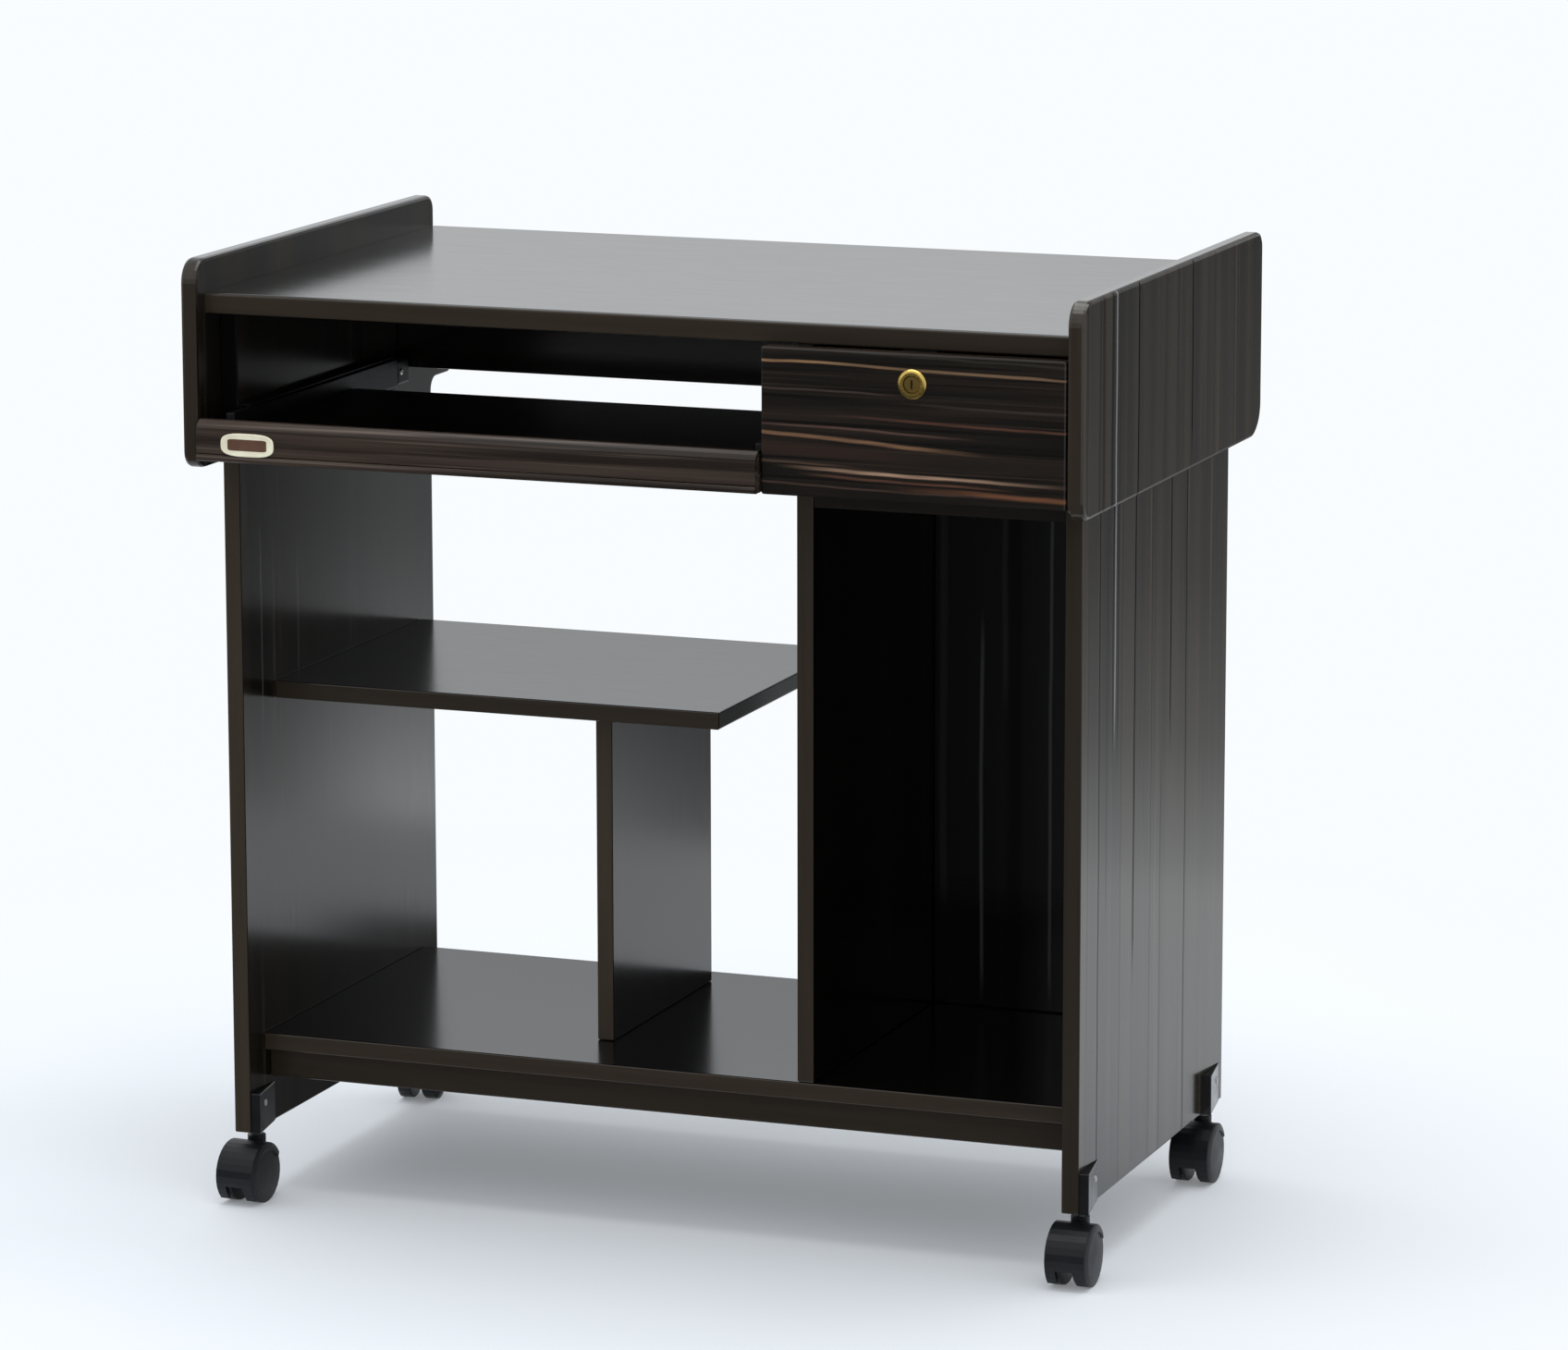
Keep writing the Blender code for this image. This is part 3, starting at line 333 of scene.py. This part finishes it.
# Upright marks on the boards: place along the face, width, light or dark, strength, lowest and highest point
MARKS = {
    "right_cheek": (
        (-0.2043, 0.0050, "dark", 0.60, 0.0, 1.0), (-0.1953, 0.0110, "dark", 0.60, 0.0, 1.0),
        (-0.1710, 0.0090, "dark", 0.75, 0.0, 1.0), (-0.1607, 0.0050, "light", 0.90, 0.0, 1.0),
        (-0.1500, 0.0060, "dark", 0.45, 0.0, 1.0), (-0.1017, 0.0046, "dark", 1.00, 0.0, 1.0),
        (-0.0300, 0.0060, "dark", 0.20, 0.0, 0.74), (0.0139, 0.0040, "light", 0.10, 0.74, 1.0),
        (0.0480, 0.0046, "dark", 1.00, 0.66, 1.0), (0.1113, 0.0040, "dark", 0.50, 0.0, 1.0),
    ),
    "right_leg_panel": (
        (-0.1829, 0.0036, "dark", 0.40, 0.0, 1.0), (-0.1525, 0.0046, "dark", 0.90, 0.0, 1.0),
        (-0.1321, 0.0036, "dark", 0.55, 0.30, 1.0), (-0.1181, 0.0046, "dark", 0.75, 0.44, 1.0),
        (-0.1115, 0.0050, "light", 0.90, 0.46, 1.0), (-0.1042, 0.0046, "dark", 0.75, 0.44, 1.0),
        (-0.0930, 0.0036, "dark", 0.50, 0.0, 1.0), (-0.0570, 0.0046, "dark", 1.00, 0.24, 1.0),
        (-0.0300, 0.0040, "dark", 0.30, 0.35, 0.65), (-0.0100, 0.0036, "dark", 0.55, 0.0, 0.70),
        (0.0190, 0.0042, "dark", 0.65, 0.0, 0.40), (0.0432, 0.0046, "dark", 1.00, 0.42, 1.0),
        (0.0880, 0.0046, "dark", 0.90, 0.0, 1.0),
    ),
    "left_leg_panel": (
        (-0.1601, 0.0040, "light", 0.22, 0.42, 0.58), (-0.1362, 0.0030, "light", 0.14, 0.44, 0.57),
        (-0.0857, 0.0036, "light", 0.20, 0.44, 0.56), (0.0239, 0.0040, "light", 0.10, 0.44, 0.55),
    ),
    "bay_back_panel": (
        # Painted light: the first mark is no streak but a faint lightening of the whole panel above 0.24 m.
        (0.2500, 0.4000, "light", 0.05, 0.24, 1.0), (0.1490, 0.0110, "light", 0.05, 0.24, 1.0),
        (0.1850, 0.0050, "light", 0.24, 0.17, 0.48), (0.2060, 0.0080, "light", 0.06, 0.43, 0.62),
        (0.2150, 0.0200, "dark", 0.35, 0.00, 1.0), (0.2480, 0.0044, "light", 0.24, 0.17, 1.0),
    ),
}
MARK_COLOURS = {"dark": EBONY_BLACK, "light": (0.25, 0.247, 0.243)}
# How far a mark wanders sideways, how softly its ends fade, and the noise that it wanders by
MARK_WANDER = 0.006
MARK_FADE = 0.03
MARK_WAVE = (1, 1, 5)
MARK_STEP = 91

# Streaks on the drawer front: height at its left end, slope, width, colour, then where along the front it
# begins, is full, is still full and ends, as shares of the front's width
DRAWER_LEFT = 0.1222
DRAWER_WIDTH = 0.262
STREAKS = (
    (0.7713, -0.0215, 0.0023, srgb(146, 112, 80), (-0.2, -0.1, 0.35, 0.70)),
    (0.7713, -0.0215, 0.0022, srgb(156, 122, 90), (0.40, 0.72, 0.78, 1.05)),
    (0.7713, -0.0215, 0.0018, srgb(110, 86, 66), (0.2, 0.3, 1.1, 1.2)),
    (0.7124, -0.0500, 0.0032, srgb(124, 92, 68), (-0.2, -0.1, 0.45, 0.78)),
    (0.6844, -0.0190, 0.0030, srgb(172, 138, 114), (0.02, 0.42, 0.55, 1.08)),
    (0.6795, -0.0260, 0.0022, srgb(92, 62, 48), (0.1, 0.3, 0.6, 0.9)),
    (0.6737, -0.0240, 0.0044, srgb(112, 72, 50), (0.35, 0.85, 1.1, 1.2)),
    (0.7491, -0.0190, 0.0016, srgb(66, 54, 50), (-0.2, -0.1, 0.3, 0.55)),
    (0.7420, -0.0120, 0.0020, srgb(58, 50, 46), (0.4, 0.7, 1.1, 1.2)),
    (0.7290, -0.0170, 0.0022, srgb(88, 58, 46), (0.1, 0.6, 1.1, 1.2)),
    (0.7197, -0.0260, 0.0020, srgb(88, 66, 58), (-0.2, 0.2, 0.5, 0.75)),
    (0.7830, -0.0260, 0.0024, srgb(48, 44, 38), (0.1, 0.5, 1.1, 1.2)),
    (0.7000, -0.0230, 0.0100, srgb(50, 36, 30), (-0.2, -0.1, 0.25, 0.6)),
    (0.6880, -0.0170, 0.0018, srgb(78, 60, 50), (-0.2, -0.1, 0.15, 0.4)),
    (0.6700, -0.0180, 0.0018, srgb(70, 54, 46), (-0.2, -0.1, 0.6, 0.9)),
)
# Where a streak's edge begins and ends as shares of its width, how far streaks bend, and how much light the
# drawer front gets, which the streaks' colours are divided by
STREAK_EDGE = (0.75, 0.15)
STREAK_BEND = 0.006
FRONT_SHARE = 1.05


def grain_scale(axis, across, along):
    """A stretch that draws features out along one axis."""
    return tuple(along if name == axis else across for name in "XYZ")


def ebony(graph, axis, offset, tone):
    """The colour of dark ebony grain along one axis."""
    figure = graph.noise(graph.scaled(grain_scale(axis, *FIGURE_GRAIN), offset), 3.0)
    figure = graph.spread(figure, 0.36, 0.64)
    colour = graph.mix(figure, toned(EBONY_DARK, tone), toned(EBONY_MIDDLE, tone))
    lines = graph.noise(graph.scaled(grain_scale(axis, *LINE_GRAIN), offset), 2.0)
    light = graph.math("MULTIPLY", graph.spread(lines, 0.60, 0.76), 0.55)
    colour = graph.mix(light, colour, toned(EBONY_LIGHT, tone))
    turned = (offset[1], offset[2], offset[0])
    veins = graph.noise(graph.scaled(grain_scale(axis, *VEIN_GRAIN), turned), 1.0)
    return graph.mix(graph.spread(veins, 0.36, 0.26), colour, toned(EBONY_BLACK, tone))


def swung(middle, swing):
    """The lowest and highest value round a middle one."""
    return middle + swing[0], middle + swing[1]


def gloss(graph, axis, offset, roughness):
    """The semi-gloss skin of the laminate, with fine pores along the grain."""
    pores = graph.noise(graph.scaled(grain_scale(axis, *PORE_GRAIN), offset), 2.0)
    graph.set(IOR=LAMINATE_IOR)
    graph.set(Roughness=graph.spread(pores, 0.2, 0.8, *swung(roughness, GLOSS_SWING), False))
    graph.bump(pores, *GLOSS_BUMP)


def laminate(name, axis, shift, tone, edge_tone, marks, roughness, shade_above=0.0):
    """Dark semi-gloss wood-grain laminate with its grain along one axis, marks and brown edge bands.

    A board without an edge tone faces the front: it has no bands, and its marks are placed in X on its front
    face. The marks of other boards are placed in Y on their right face.
    """
    graph = Graph(name)
    offset = tuple(shift * step for step in BOARD_STEP)
    colour = ebony(graph, axis, offset, tone)
    x, y, height = graph.axes()
    normal = graph.normal()
    if edge_tone is None:
        along, facing = x, graph.spread(graph.math("MULTIPLY", normal[1], -1.0), *MARK_FACING)
    else:
        along, facing = y, graph.spread(normal[0], *MARK_FACING)
    shine = PLAIN_SHINE
    for place, width, kind, strength, bottom, top in marks:
        wave = graph.noise(graph.scaled(MARK_WAVE, (place * MARK_STEP, 0, 0)), 2.0)
        line = graph.math("ADD", place - MARK_WANDER / 2, graph.math("MULTIPLY", wave, MARK_WANDER))
        off = graph.math("ABSOLUTE", graph.math("SUBTRACT", along, line))
        share = graph.spread(off, width / 2, width / 8, 0.0, strength)
        above = graph.spread(height, bottom - MARK_FADE, bottom + MARK_FADE)
        below = graph.spread(height, top + MARK_FADE, top - MARK_FADE)
        ends = graph.math("MULTIPLY", above, below)
        share = graph.math("MULTIPLY", graph.math("MULTIPLY", share, ends), facing)
        colour = graph.mix(share, colour, MARK_COLOURS[kind])
        if kind == "dark":
            shine = graph.math("MULTIPLY", shine, graph.math("SUBTRACT", 1.0, share))
            graph.set(Specular_IOR_Level=shine)
    if edge_tone is not None:
        band_figure = graph.noise(graph.scaled(grain_scale(axis, *BAND_GRAIN), offset), 3.0)
        band = graph.mix(band_figure, toned(BAND_DARK, edge_tone), toned(BAND_LIGHT, edge_tone))
        # Painted shade: above that height the edge band turns black for the shade cast by the cheek and the
        # desk top.
        if shade_above:
            edge_shade = graph.spread(height, shade_above - SHADED_EDGE_FADE, shade_above + SHADED_EDGE_FADE)
            band = graph.mix(edge_shade, band, EBONY_BLACK)
        colour = graph.mix(graph.end_grain(), colour, band)
    graph.set(Base_Color=colour)
    gloss(graph, axis, offset, roughness)
    return graph


def drawer_laminate():
    """The drawer front's laminate: brown-black with a few slanting light streaks."""
    graph = Graph("drawer_laminate")
    cloud = graph.noise(graph.scaled(DRAWER_CLOUD, DRAWER_OFFSET), 3.0)
    dark = toned(DRAWER_DARK, 1 / FRONT_SHARE)
    middle = toned(DRAWER_MIDDLE, 1 / FRONT_SHARE)
    colour = graph.mix(graph.spread(cloud, 0.30, 0.70), dark, middle)
    fine = graph.noise(graph.scaled(DRAWER_FINE, DRAWER_OFFSET), 2.0)
    colour = graph.mix(graph.spread(fine, 0.46, 0.30, 0.0, 0.75), colour, EBONY_BLACK)
    colour = graph.mix(graph.spread(fine, 0.56, 0.74, 0.0, 0.55), colour, DRAWER_LIGHT)
    x, _, z = graph.axes()
    along = graph.math("SUBTRACT", x, DRAWER_LEFT)
    wave = graph.noise(graph.scaled(DRAWER_WAVE, DRAWER_OFFSET), 2.0)
    bend = graph.math("MULTIPLY", graph.math("SUBTRACT", wave, 0.5), STREAK_BEND)
    fibre = graph.noise(graph.scaled(DRAWER_FIBRE, DRAWER_OFFSET), 2.0)
    broken = graph.spread(fibre, 0.25, 0.60, 0.45, 1.0)
    for height, slope, width, streak, (begin, full, still, end) in STREAKS:
        line = graph.math("MULTIPLY_ADD", along, slope, height)
        off = graph.math("SUBTRACT", z, graph.math("ADD", line, bend))
        edge = [width * share for share in STREAK_EDGE]
        body = graph.spread(graph.math("ABSOLUTE", off), *edge)
        rise = graph.spread(along, begin * DRAWER_WIDTH, full * DRAWER_WIDTH)
        fall = graph.spread(along, end * DRAWER_WIDTH, still * DRAWER_WIDTH)
        ends = graph.math("MULTIPLY", rise, fall)
        share = graph.math("MULTIPLY", graph.math("MULTIPLY", body, broken), ends)
        colour = graph.mix(share, colour, toned(streak, 1 / FRONT_SHARE))
    graph.set(Base_Color=colour)
    gloss(graph, "X", DRAWER_OFFSET, 0.18)
    graph.set(Specular_IOR_Level=graph.spread(graph.end_grain(), 0.0, 1.0, DRAWER_SHINE, PLAIN_SHINE))
    return graph


def rail_laminate():
    """The tray rail's foil: warm brown grain along the rail, with paler fibres."""
    graph = Graph("rail_laminate")
    figure = graph.noise(graph.scaled(RAIL_FIGURE, RAIL_OFFSET), 3.0)
    colour = graph.mix(graph.spread(figure, 0.32, 0.68), RAIL_DARK, RAIL_MIDDLE)
    fibres = graph.noise(graph.scaled(RAIL_FIBRE, RAIL_OFFSET), 2.0)
    colour = graph.mix(graph.spread(fibres, 0.56, 0.78, 0.0, 0.7), colour, RAIL_LIGHT)
    graph.set(Base_Color=colour)
    gloss(graph, "X", RAIL_OFFSET, 0.24)
    graph.set(IOR=FOIL_IOR)
    return graph


def plastic(name, colour, roughness, ior):
    """Moulded satin plastic."""
    graph = Graph(name)
    cloud = graph.noise(graph.scaled(CLOUDY_PLASTIC), 3.0)
    grit = graph.noise(graph.scaled(GRITTY_PLASTIC), 2.0)
    graph.set(Base_Color=graph.mix(cloud, toned(colour, 0.75), toned(colour, 1.35)), IOR=ior)
    graph.set(Roughness=graph.spread(cloud, 0.3, 0.7, *swung(roughness, PLASTIC_SWING), False))
    graph.bump(grit, *PLASTIC_BUMP)
    return graph


def metal(name, colour, roughness, axis):
    """Drawn or plated metal with faint lines along one axis."""
    graph = Graph(name)
    lines = graph.noise(graph.scaled(grain_scale(axis, *DRAWN_METAL)), 2.0)
    cloud = graph.noise(graph.scaled(CLOUDY_METAL), 3.0)
    graph.set(Base_Color=graph.mix(cloud, toned(colour, 0.72), toned(colour, 1.12)), Metallic=1.0)
    graph.set(Roughness=graph.spread(lines, 0.25, 0.75, *swung(roughness, METAL_SWING), False))
    graph.bump(lines, *METAL_BUMP)
    return graph


def cover(names, graph):
    """Give CAD nodes a material."""
    for name in names:
        NODES[name].data.materials.clear()
        NODES[name].data.materials.append(graph.material)


CORNERS = ("front_left", "front_right", "rear_left", "rear_right")
SIDES = ("left", "right")


def dress_nodes():
    """Materials of the CAD nodes."""
    for index, (name, (axis, tone, edge_tone, roughness)) in enumerate(BOARDS.items()):
        marks = MARKS.get(name, ())
        shade_above = SHADED_EDGE_ABOVE.get(name, 0.0)
        skin = laminate(f"{name}_laminate", axis, 1 + index, tone, edge_tone, marks, roughness, shade_above)
        cover([name], skin)
    cover(["tray_front_rail"], rail_laminate())
    cover(["drawer_front"], drawer_laminate())
    box_boards = ["drawer_left_side", "drawer_right_side", "drawer_back", "drawer_bottom"]
    cover(box_boards, laminate("drawer_foil", "Y", 31, 1.2, 0.6, (), 0.35))
    slide_kinds = ("tray_rail", "tray_runner", "drawer_rail", "drawer_runner")
    slides = [f"{side}_{kind}" for side in SIDES for kind in slide_kinds]
    cover(slides + ["lock_strike"], metal("slide_metal", SLIDE_GREY, 0.40, "Y"))
    sockets = [f"{corner}_castor_socket" for corner in CORNERS]
    cover(sockets, plastic("socket_plastic", SOCKET_BLACK, 0.20, SOCKET_IOR))
    hoods = [f"{corner}_castor_hood" for corner in CORNERS]
    stops = [f"{side}_tray_stop" for side in SIDES]
    cover(hoods + stops, plastic("hood_plastic", HOOD_BLACK, 0.40, CASTOR_IOR))
    wheels = [f"{corner}_castor_{side}_wheel" for corner in CORNERS for side in SIDES]
    cover(wheels, plastic("wheel_plastic", WHEEL_BLACK, 0.42, CASTOR_IOR))
    # The stems take the darkened steel, which paints the shade they stand in.
    stems = [f"{corner}_castor_stem" for corner in CORNERS]
    cover(stems, metal("shaded_stem_steel", SHADED_STEM_STEEL, 0.38, "Z"))
    axles = [f"{corner}_castor_axle" for corner in CORNERS]
    cover(axles + ["lock_cam"], metal("zinc_steel", ZINC, 0.30, "Z"))
    cover(["lock_rosette", "lock_housing"], metal("brass", BRASS, 0.26, "X"))
    cover(["lock_plug"], metal("dark_brass", DARK_BRASS, 0.34, "X"))


def add_piece(name, vertices, faces, graph, body, slot):
    """A small piece of its own that rides on a body; its slot is not used."""
    mesh = bpy.data.meshes.new(name)
    mesh.from_pydata(vertices, [], faces)
    mesh.polygons.foreach_set("use_smooth", [len(face) == 4 for face in faces])
    mesh.materials.append(graph.material)
    piece = collection_link(bpy.data.objects.new(name, mesh))
    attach(piece, body)


def lofted(rings):
    """Vertices and faces of a closed form through rings of as many points, with both ends capped."""
    count = len(rings[0])
    vertices = [point for ring in rings for point in ring]
    faces = []
    for ring in range(len(rings) - 1):
        for index in range(count):
            after = (index + 1) % count
            near = ring * count
            far = near + count
            faces.append((near + index, near + after, far + after, far + index))
    faces.append(tuple(reversed(range(count))))
    faces.append(tuple(range(len(vertices) - count, len(vertices))))
    return vertices, faces


def oval(centre, size, inset, y, power):
    """Points of a rounded oval that faces the front, squarer with a higher power."""
    steps = 48
    points = []
    for step in range(steps):
        angle = math.tau * step / steps
        across = math.copysign(abs(math.cos(angle)) ** (2 / power), math.cos(angle))
        up = math.copysign(abs(math.sin(angle)) ** (2 / power), math.sin(angle))
        x = centre[0] + across * (size[0] / 2 - inset)
        z = centre[1] + up * (size[1] / 2 - inset)
        points.append((x, y, z))
    return points


def make_badge():
    """The blank cream plate on the tray's front rail, with a raised rim and a plain bar in its field."""
    field = BADGE_FRONT + BADGE_DEPTH
    steps = (
        (0.0, BADGE_BACK), (0.0, BADGE_FRONT + 0.0005), (0.0002, BADGE_FRONT + 0.0002), (0.0006, BADGE_FRONT),
        (0.0014, BADGE_FRONT), (0.0018, BADGE_FRONT + 0.0002), (0.0021, field),
    )
    rings = [oval(BADGE_CENTRE, BADGE_SIZE, inset, y, PLATE_POWER) for inset, y in steps]
    cream = plastic("cream_plastic", CREAM, 0.50, BADGE_IOR)
    add_piece("badge_plate", *lofted(rings), cream, "tray", "moulded_plastic")
    bar_steps = ((0.0, field + 0.0003), (0.0, field - 0.0001), (0.0002, field - 0.0002))
    rings = [oval(BADGE_CENTRE, BADGE_BAR_SIZE, inset, y, BAR_POWER) for inset, y in bar_steps]
    brown = plastic("brown_plastic", BROWN, 0.45, BADGE_IOR)
    add_piece("badge_bar", *lofted(rings), brown, "tray", "moulded_plastic")


def screw_head(place, facing, radius, height, lean=0.0):
    """Vertices and faces of a low domed screw head with a cross recess.

    It sits on a side face that may lean along Y.
    """
    spokes = 48
    rings = 12
    arm = radius * 0.62
    half = radius * 0.15
    wall = half * 0.5
    fall = 0.75
    recess = 0.65
    sunk = 0.0003

    def rise(u, v):
        share = min(1.0, math.hypot(u, v) / radius)
        dome = height * (1 - fall * share ** 3)
        long, short = max(abs(u), abs(v)), min(abs(u), abs(v))
        inside = min(1.0, max(0.0, (half - short) / wall)) if long < arm else 0.0
        return dome - recess * height * inside

    vertices = [(place[0] + facing * rise(0, 0), place[1], place[2])]
    for ring in range(1, rings + 1):
        for spoke in range(spokes):
            angle = math.tau * spoke / spokes
            u = radius * ring / rings * math.cos(angle)
            v = radius * ring / rings * math.sin(angle)
            vertices.append((place[0] + facing * rise(u, v) + lean * u, place[1] + u, place[2] + v))
    for spoke in range(spokes):
        angle = math.tau * spoke / spokes
        u = radius * math.cos(angle)
        v = radius * math.sin(angle)
        vertices.append((place[0] - facing * sunk + lean * u, place[1] + u, place[2] + v))
    faces = []
    for spoke in range(spokes):
        after = (spoke + 1) % spokes
        faces.append((0, 1 + spoke, 1 + after))
        for ring in range(rings):
            near = 1 + ring * spokes
            far = near + spokes
            faces.append((near + spoke, far + spoke, far + after, near + after))
    faces.append(tuple(reversed(range(1 + rings * spokes, len(vertices)))))
    if facing < 0:
        faces = [tuple(reversed(face)) for face in faces]
    return vertices, faces


def make_screws():
    """Cross-head screws that hold the castor sockets and the tray's rear stops."""
    graph = metal("screw_steel", SCREW_STEEL, 0.30, "Z")
    for end, edge in SOCKET_EDGES.items():
        for side, (face, along, height) in SOCKET_SCREWS.items():
            place = (face + SOCKET_LEAN * along, edge + along, height)
            head = screw_head(place, 1, *SOCKET_SCREW_SIZE, SOCKET_LEAN)
            add_piece(f"{end}_{side}_socket_screw", *head, graph, "carcass", "steel")
    for side, (face, facing) in STOP_SCREWS.items():
        head = screw_head((face, *STOP_SCREW_PLACE), facing, *STOP_SCREW_SIZE)
        add_piece(f"{side}_stop_screw", *head, graph, "carcass", "steel")


def light_world():
    """An even pale world: white to the camera and in reflections, softer as light."""
    world = bpy.data.worlds.new("studio")
    bpy.context.scene.world = world
    world.use_nodes = True
    tree = world.node_tree
    back = tree.nodes["Background"]
    back.inputs["Color"].default_value = (*WORLD_TINT, 1.0)
    path = tree.nodes.new("ShaderNodeLightPath")
    seen = tree.nodes.new("ShaderNodeMath")
    seen.operation = "MAXIMUM"
    tree.links.new(path.outputs["Is Camera Ray"], seen.inputs[0])
    tree.links.new(path.outputs["Is Glossy Ray"], seen.inputs[1])
    clear = tree.nodes.new("ShaderNodeMath")
    clear.operation = "MAXIMUM"
    tree.links.new(seen.outputs[0], clear.inputs[0])
    tree.links.new(path.outputs["Is Transmission Ray"], clear.inputs[1])
    level = tree.nodes.new("ShaderNodeMapRange")
    level.inputs["To Min"].default_value = WORLD_LIGHT
    level.inputs["To Max"].default_value = WORLD_SEEN
    tree.links.new(clear.outputs[0], level.inputs["Value"])
    tree.links.new(level.outputs["Result"], back.inputs["Strength"])


def softbox(name, place, aim, width, depth, radiance):
    """A rectangular lamp of a given brightness per area."""
    data = bpy.data.lights.new(name, "AREA")
    data.shape = "RECTANGLE"
    data.size = width
    data.size_y = depth
    data.energy = radiance * width * depth * math.pi
    lamp = collection_link(bpy.data.objects.new(name, data))
    lamp.location = place
    lamp.rotation_euler = (Vector(aim) - Vector(place)).to_track_quat("-Z", "Y").to_euler()


def upright(y, left, right, bottom, top):
    """Corners of a sheet that stands along X."""
    return [(left, y, bottom), (right, y, bottom), (right, y, top), (left, y, top)]


def lying(z, left, right, front, rear):
    """Corners of a level sheet."""
    return [(left, front, z), (right, front, z), (right, rear, z), (left, rear, z)]


def sheet(name, corners):
    """A flat stage sheet."""
    mesh = bpy.data.meshes.new(name)
    mesh.from_pydata(corners, [], [(0, 1, 2, 3)])
    item = collection_link(bpy.data.objects.new(name, mesh))
    return item


def glossy_only(item):
    """Let a stage card show in reflections alone."""
    item.visible_camera = False
    item.visible_diffuse = False
    item.visible_transmission = False
    item.visible_shadow = False


def make_floor():
    """A pale floor with the table's shadow, which turns to plain white away from the table."""
    floor = sheet("floor", lying(0, -FLOOR_REACH, FLOOR_REACH, -FLOOR_REACH, FLOOR_REACH))
    graph = Graph("pale_floor")
    x, y, _ = graph.axes()
    shifted = graph.math("ADD", x, FLOOR_SHIFT)
    squares = graph.math("ADD", graph.math("MULTIPLY", shifted, shifted), graph.math("MULTIPLY", y, y))
    far = graph.spread(graph.math("SQRT", squares), *FLOOR_RING, FLOOR_NEAR_WHITE, 1.0)
    cloud = graph.noise(graph.scaled((3, 3, 3)), 2.0)
    graph.set(Base_Color=graph.mix(cloud, FLOOR_DARK, FLOOR_LIGHT))
    graph.set(Roughness=0.7, Specular_IOR_Level=0.1)
    path = graph.node("ShaderNodeLightPath")
    seen = graph.math("MAXIMUM", path.outputs["Is Camera Ray"], path.outputs["Is Glossy Ray"])
    seen = graph.math("MAXIMUM", seen, path.outputs["Is Transmission Ray"])
    white = graph.node("ShaderNodeEmission")
    graph.feed(white.inputs["Color"], WORLD_TINT)
    blend = graph.node("ShaderNodeMixShader")
    graph.feed(blend.inputs[0], graph.math("MULTIPLY", far, seen))
    graph.tree.links.new(graph.shader.outputs[0], blend.inputs[1])
    graph.tree.links.new(white.outputs[0], blend.inputs[2])
    graph.tree.links.new(blend.outputs[0], graph.output.inputs["Surface"])
    floor.data.materials.append(graph.material)


def graded(graph, value, levels):
    """A number that runs straight from level to level, each given as (value, number)."""
    number = levels[0][1]
    for (low, before), (high, after) in zip(levels, levels[1:]):
        number = graph.math("ADD", number, graph.spread(value, low, high, 0.0, after - before, False))
    return number


def glow(name, heights, places):
    """An emitting card material: strengths by height, times shares by place from left to right."""
    graph = Graph(name)
    x, _, height = graph.axes()
    strength = graded(graph, height, heights)
    if places:
        strength = graph.math("MULTIPLY", strength, graded(graph, x, places))
    light = graph.node("ShaderNodeEmission")
    graph.feed(light.inputs["Color"], WORLD_TINT)
    graph.feed(light.inputs["Strength"], strength)
    graph.tree.links.new(light.outputs[0], graph.output.inputs["Surface"])
    return graph.material


def make_cards():
    """Cards that only reflections see: graded pale ones behind, dark ones under the table and in front."""
    cards = (
        ("back_card", upright(3, -6, 0.4, 0, 6), BACK_LEVELS, ()),
        ("right_card", upright(1.3, -0.15, 3, 0, 0.85), RIGHT_LEVELS, RIGHT_SHARES),
        ("upper_card", upright(1.3, 0.09, 3, 0.95, 3), UPPER_LEVELS, UPPER_SHARES),
        ("under_card", lying(0.003, -0.36, 0, 0, 0.85), FLOOR_CARD_LEVELS, ()),
        ("front_card", lying(0.004, -6, 2, -6, -0.30), FLOOR_CARD_LEVELS, ()),
        ("front_wall", upright(-4.2, -6, 1.6, 0, 1.0), WALL_LEVELS, ()),
    )
    for name, corners, levels, shares in cards:
        card = sheet(name, corners)
        card.data.materials.append(glow(f"{name}_glow", levels, shares))
        glossy_only(card)


bpy.context.scene.view_settings.view_transform = "Standard"
place_camera()
light_world()
softbox("overhead", LAMP_PLACE, LAMP_AIM, *LAMP_SIZE, LAMP_RADIANCE)
make_floor()
make_cards()
dress_nodes()
make_badge()
make_screws()
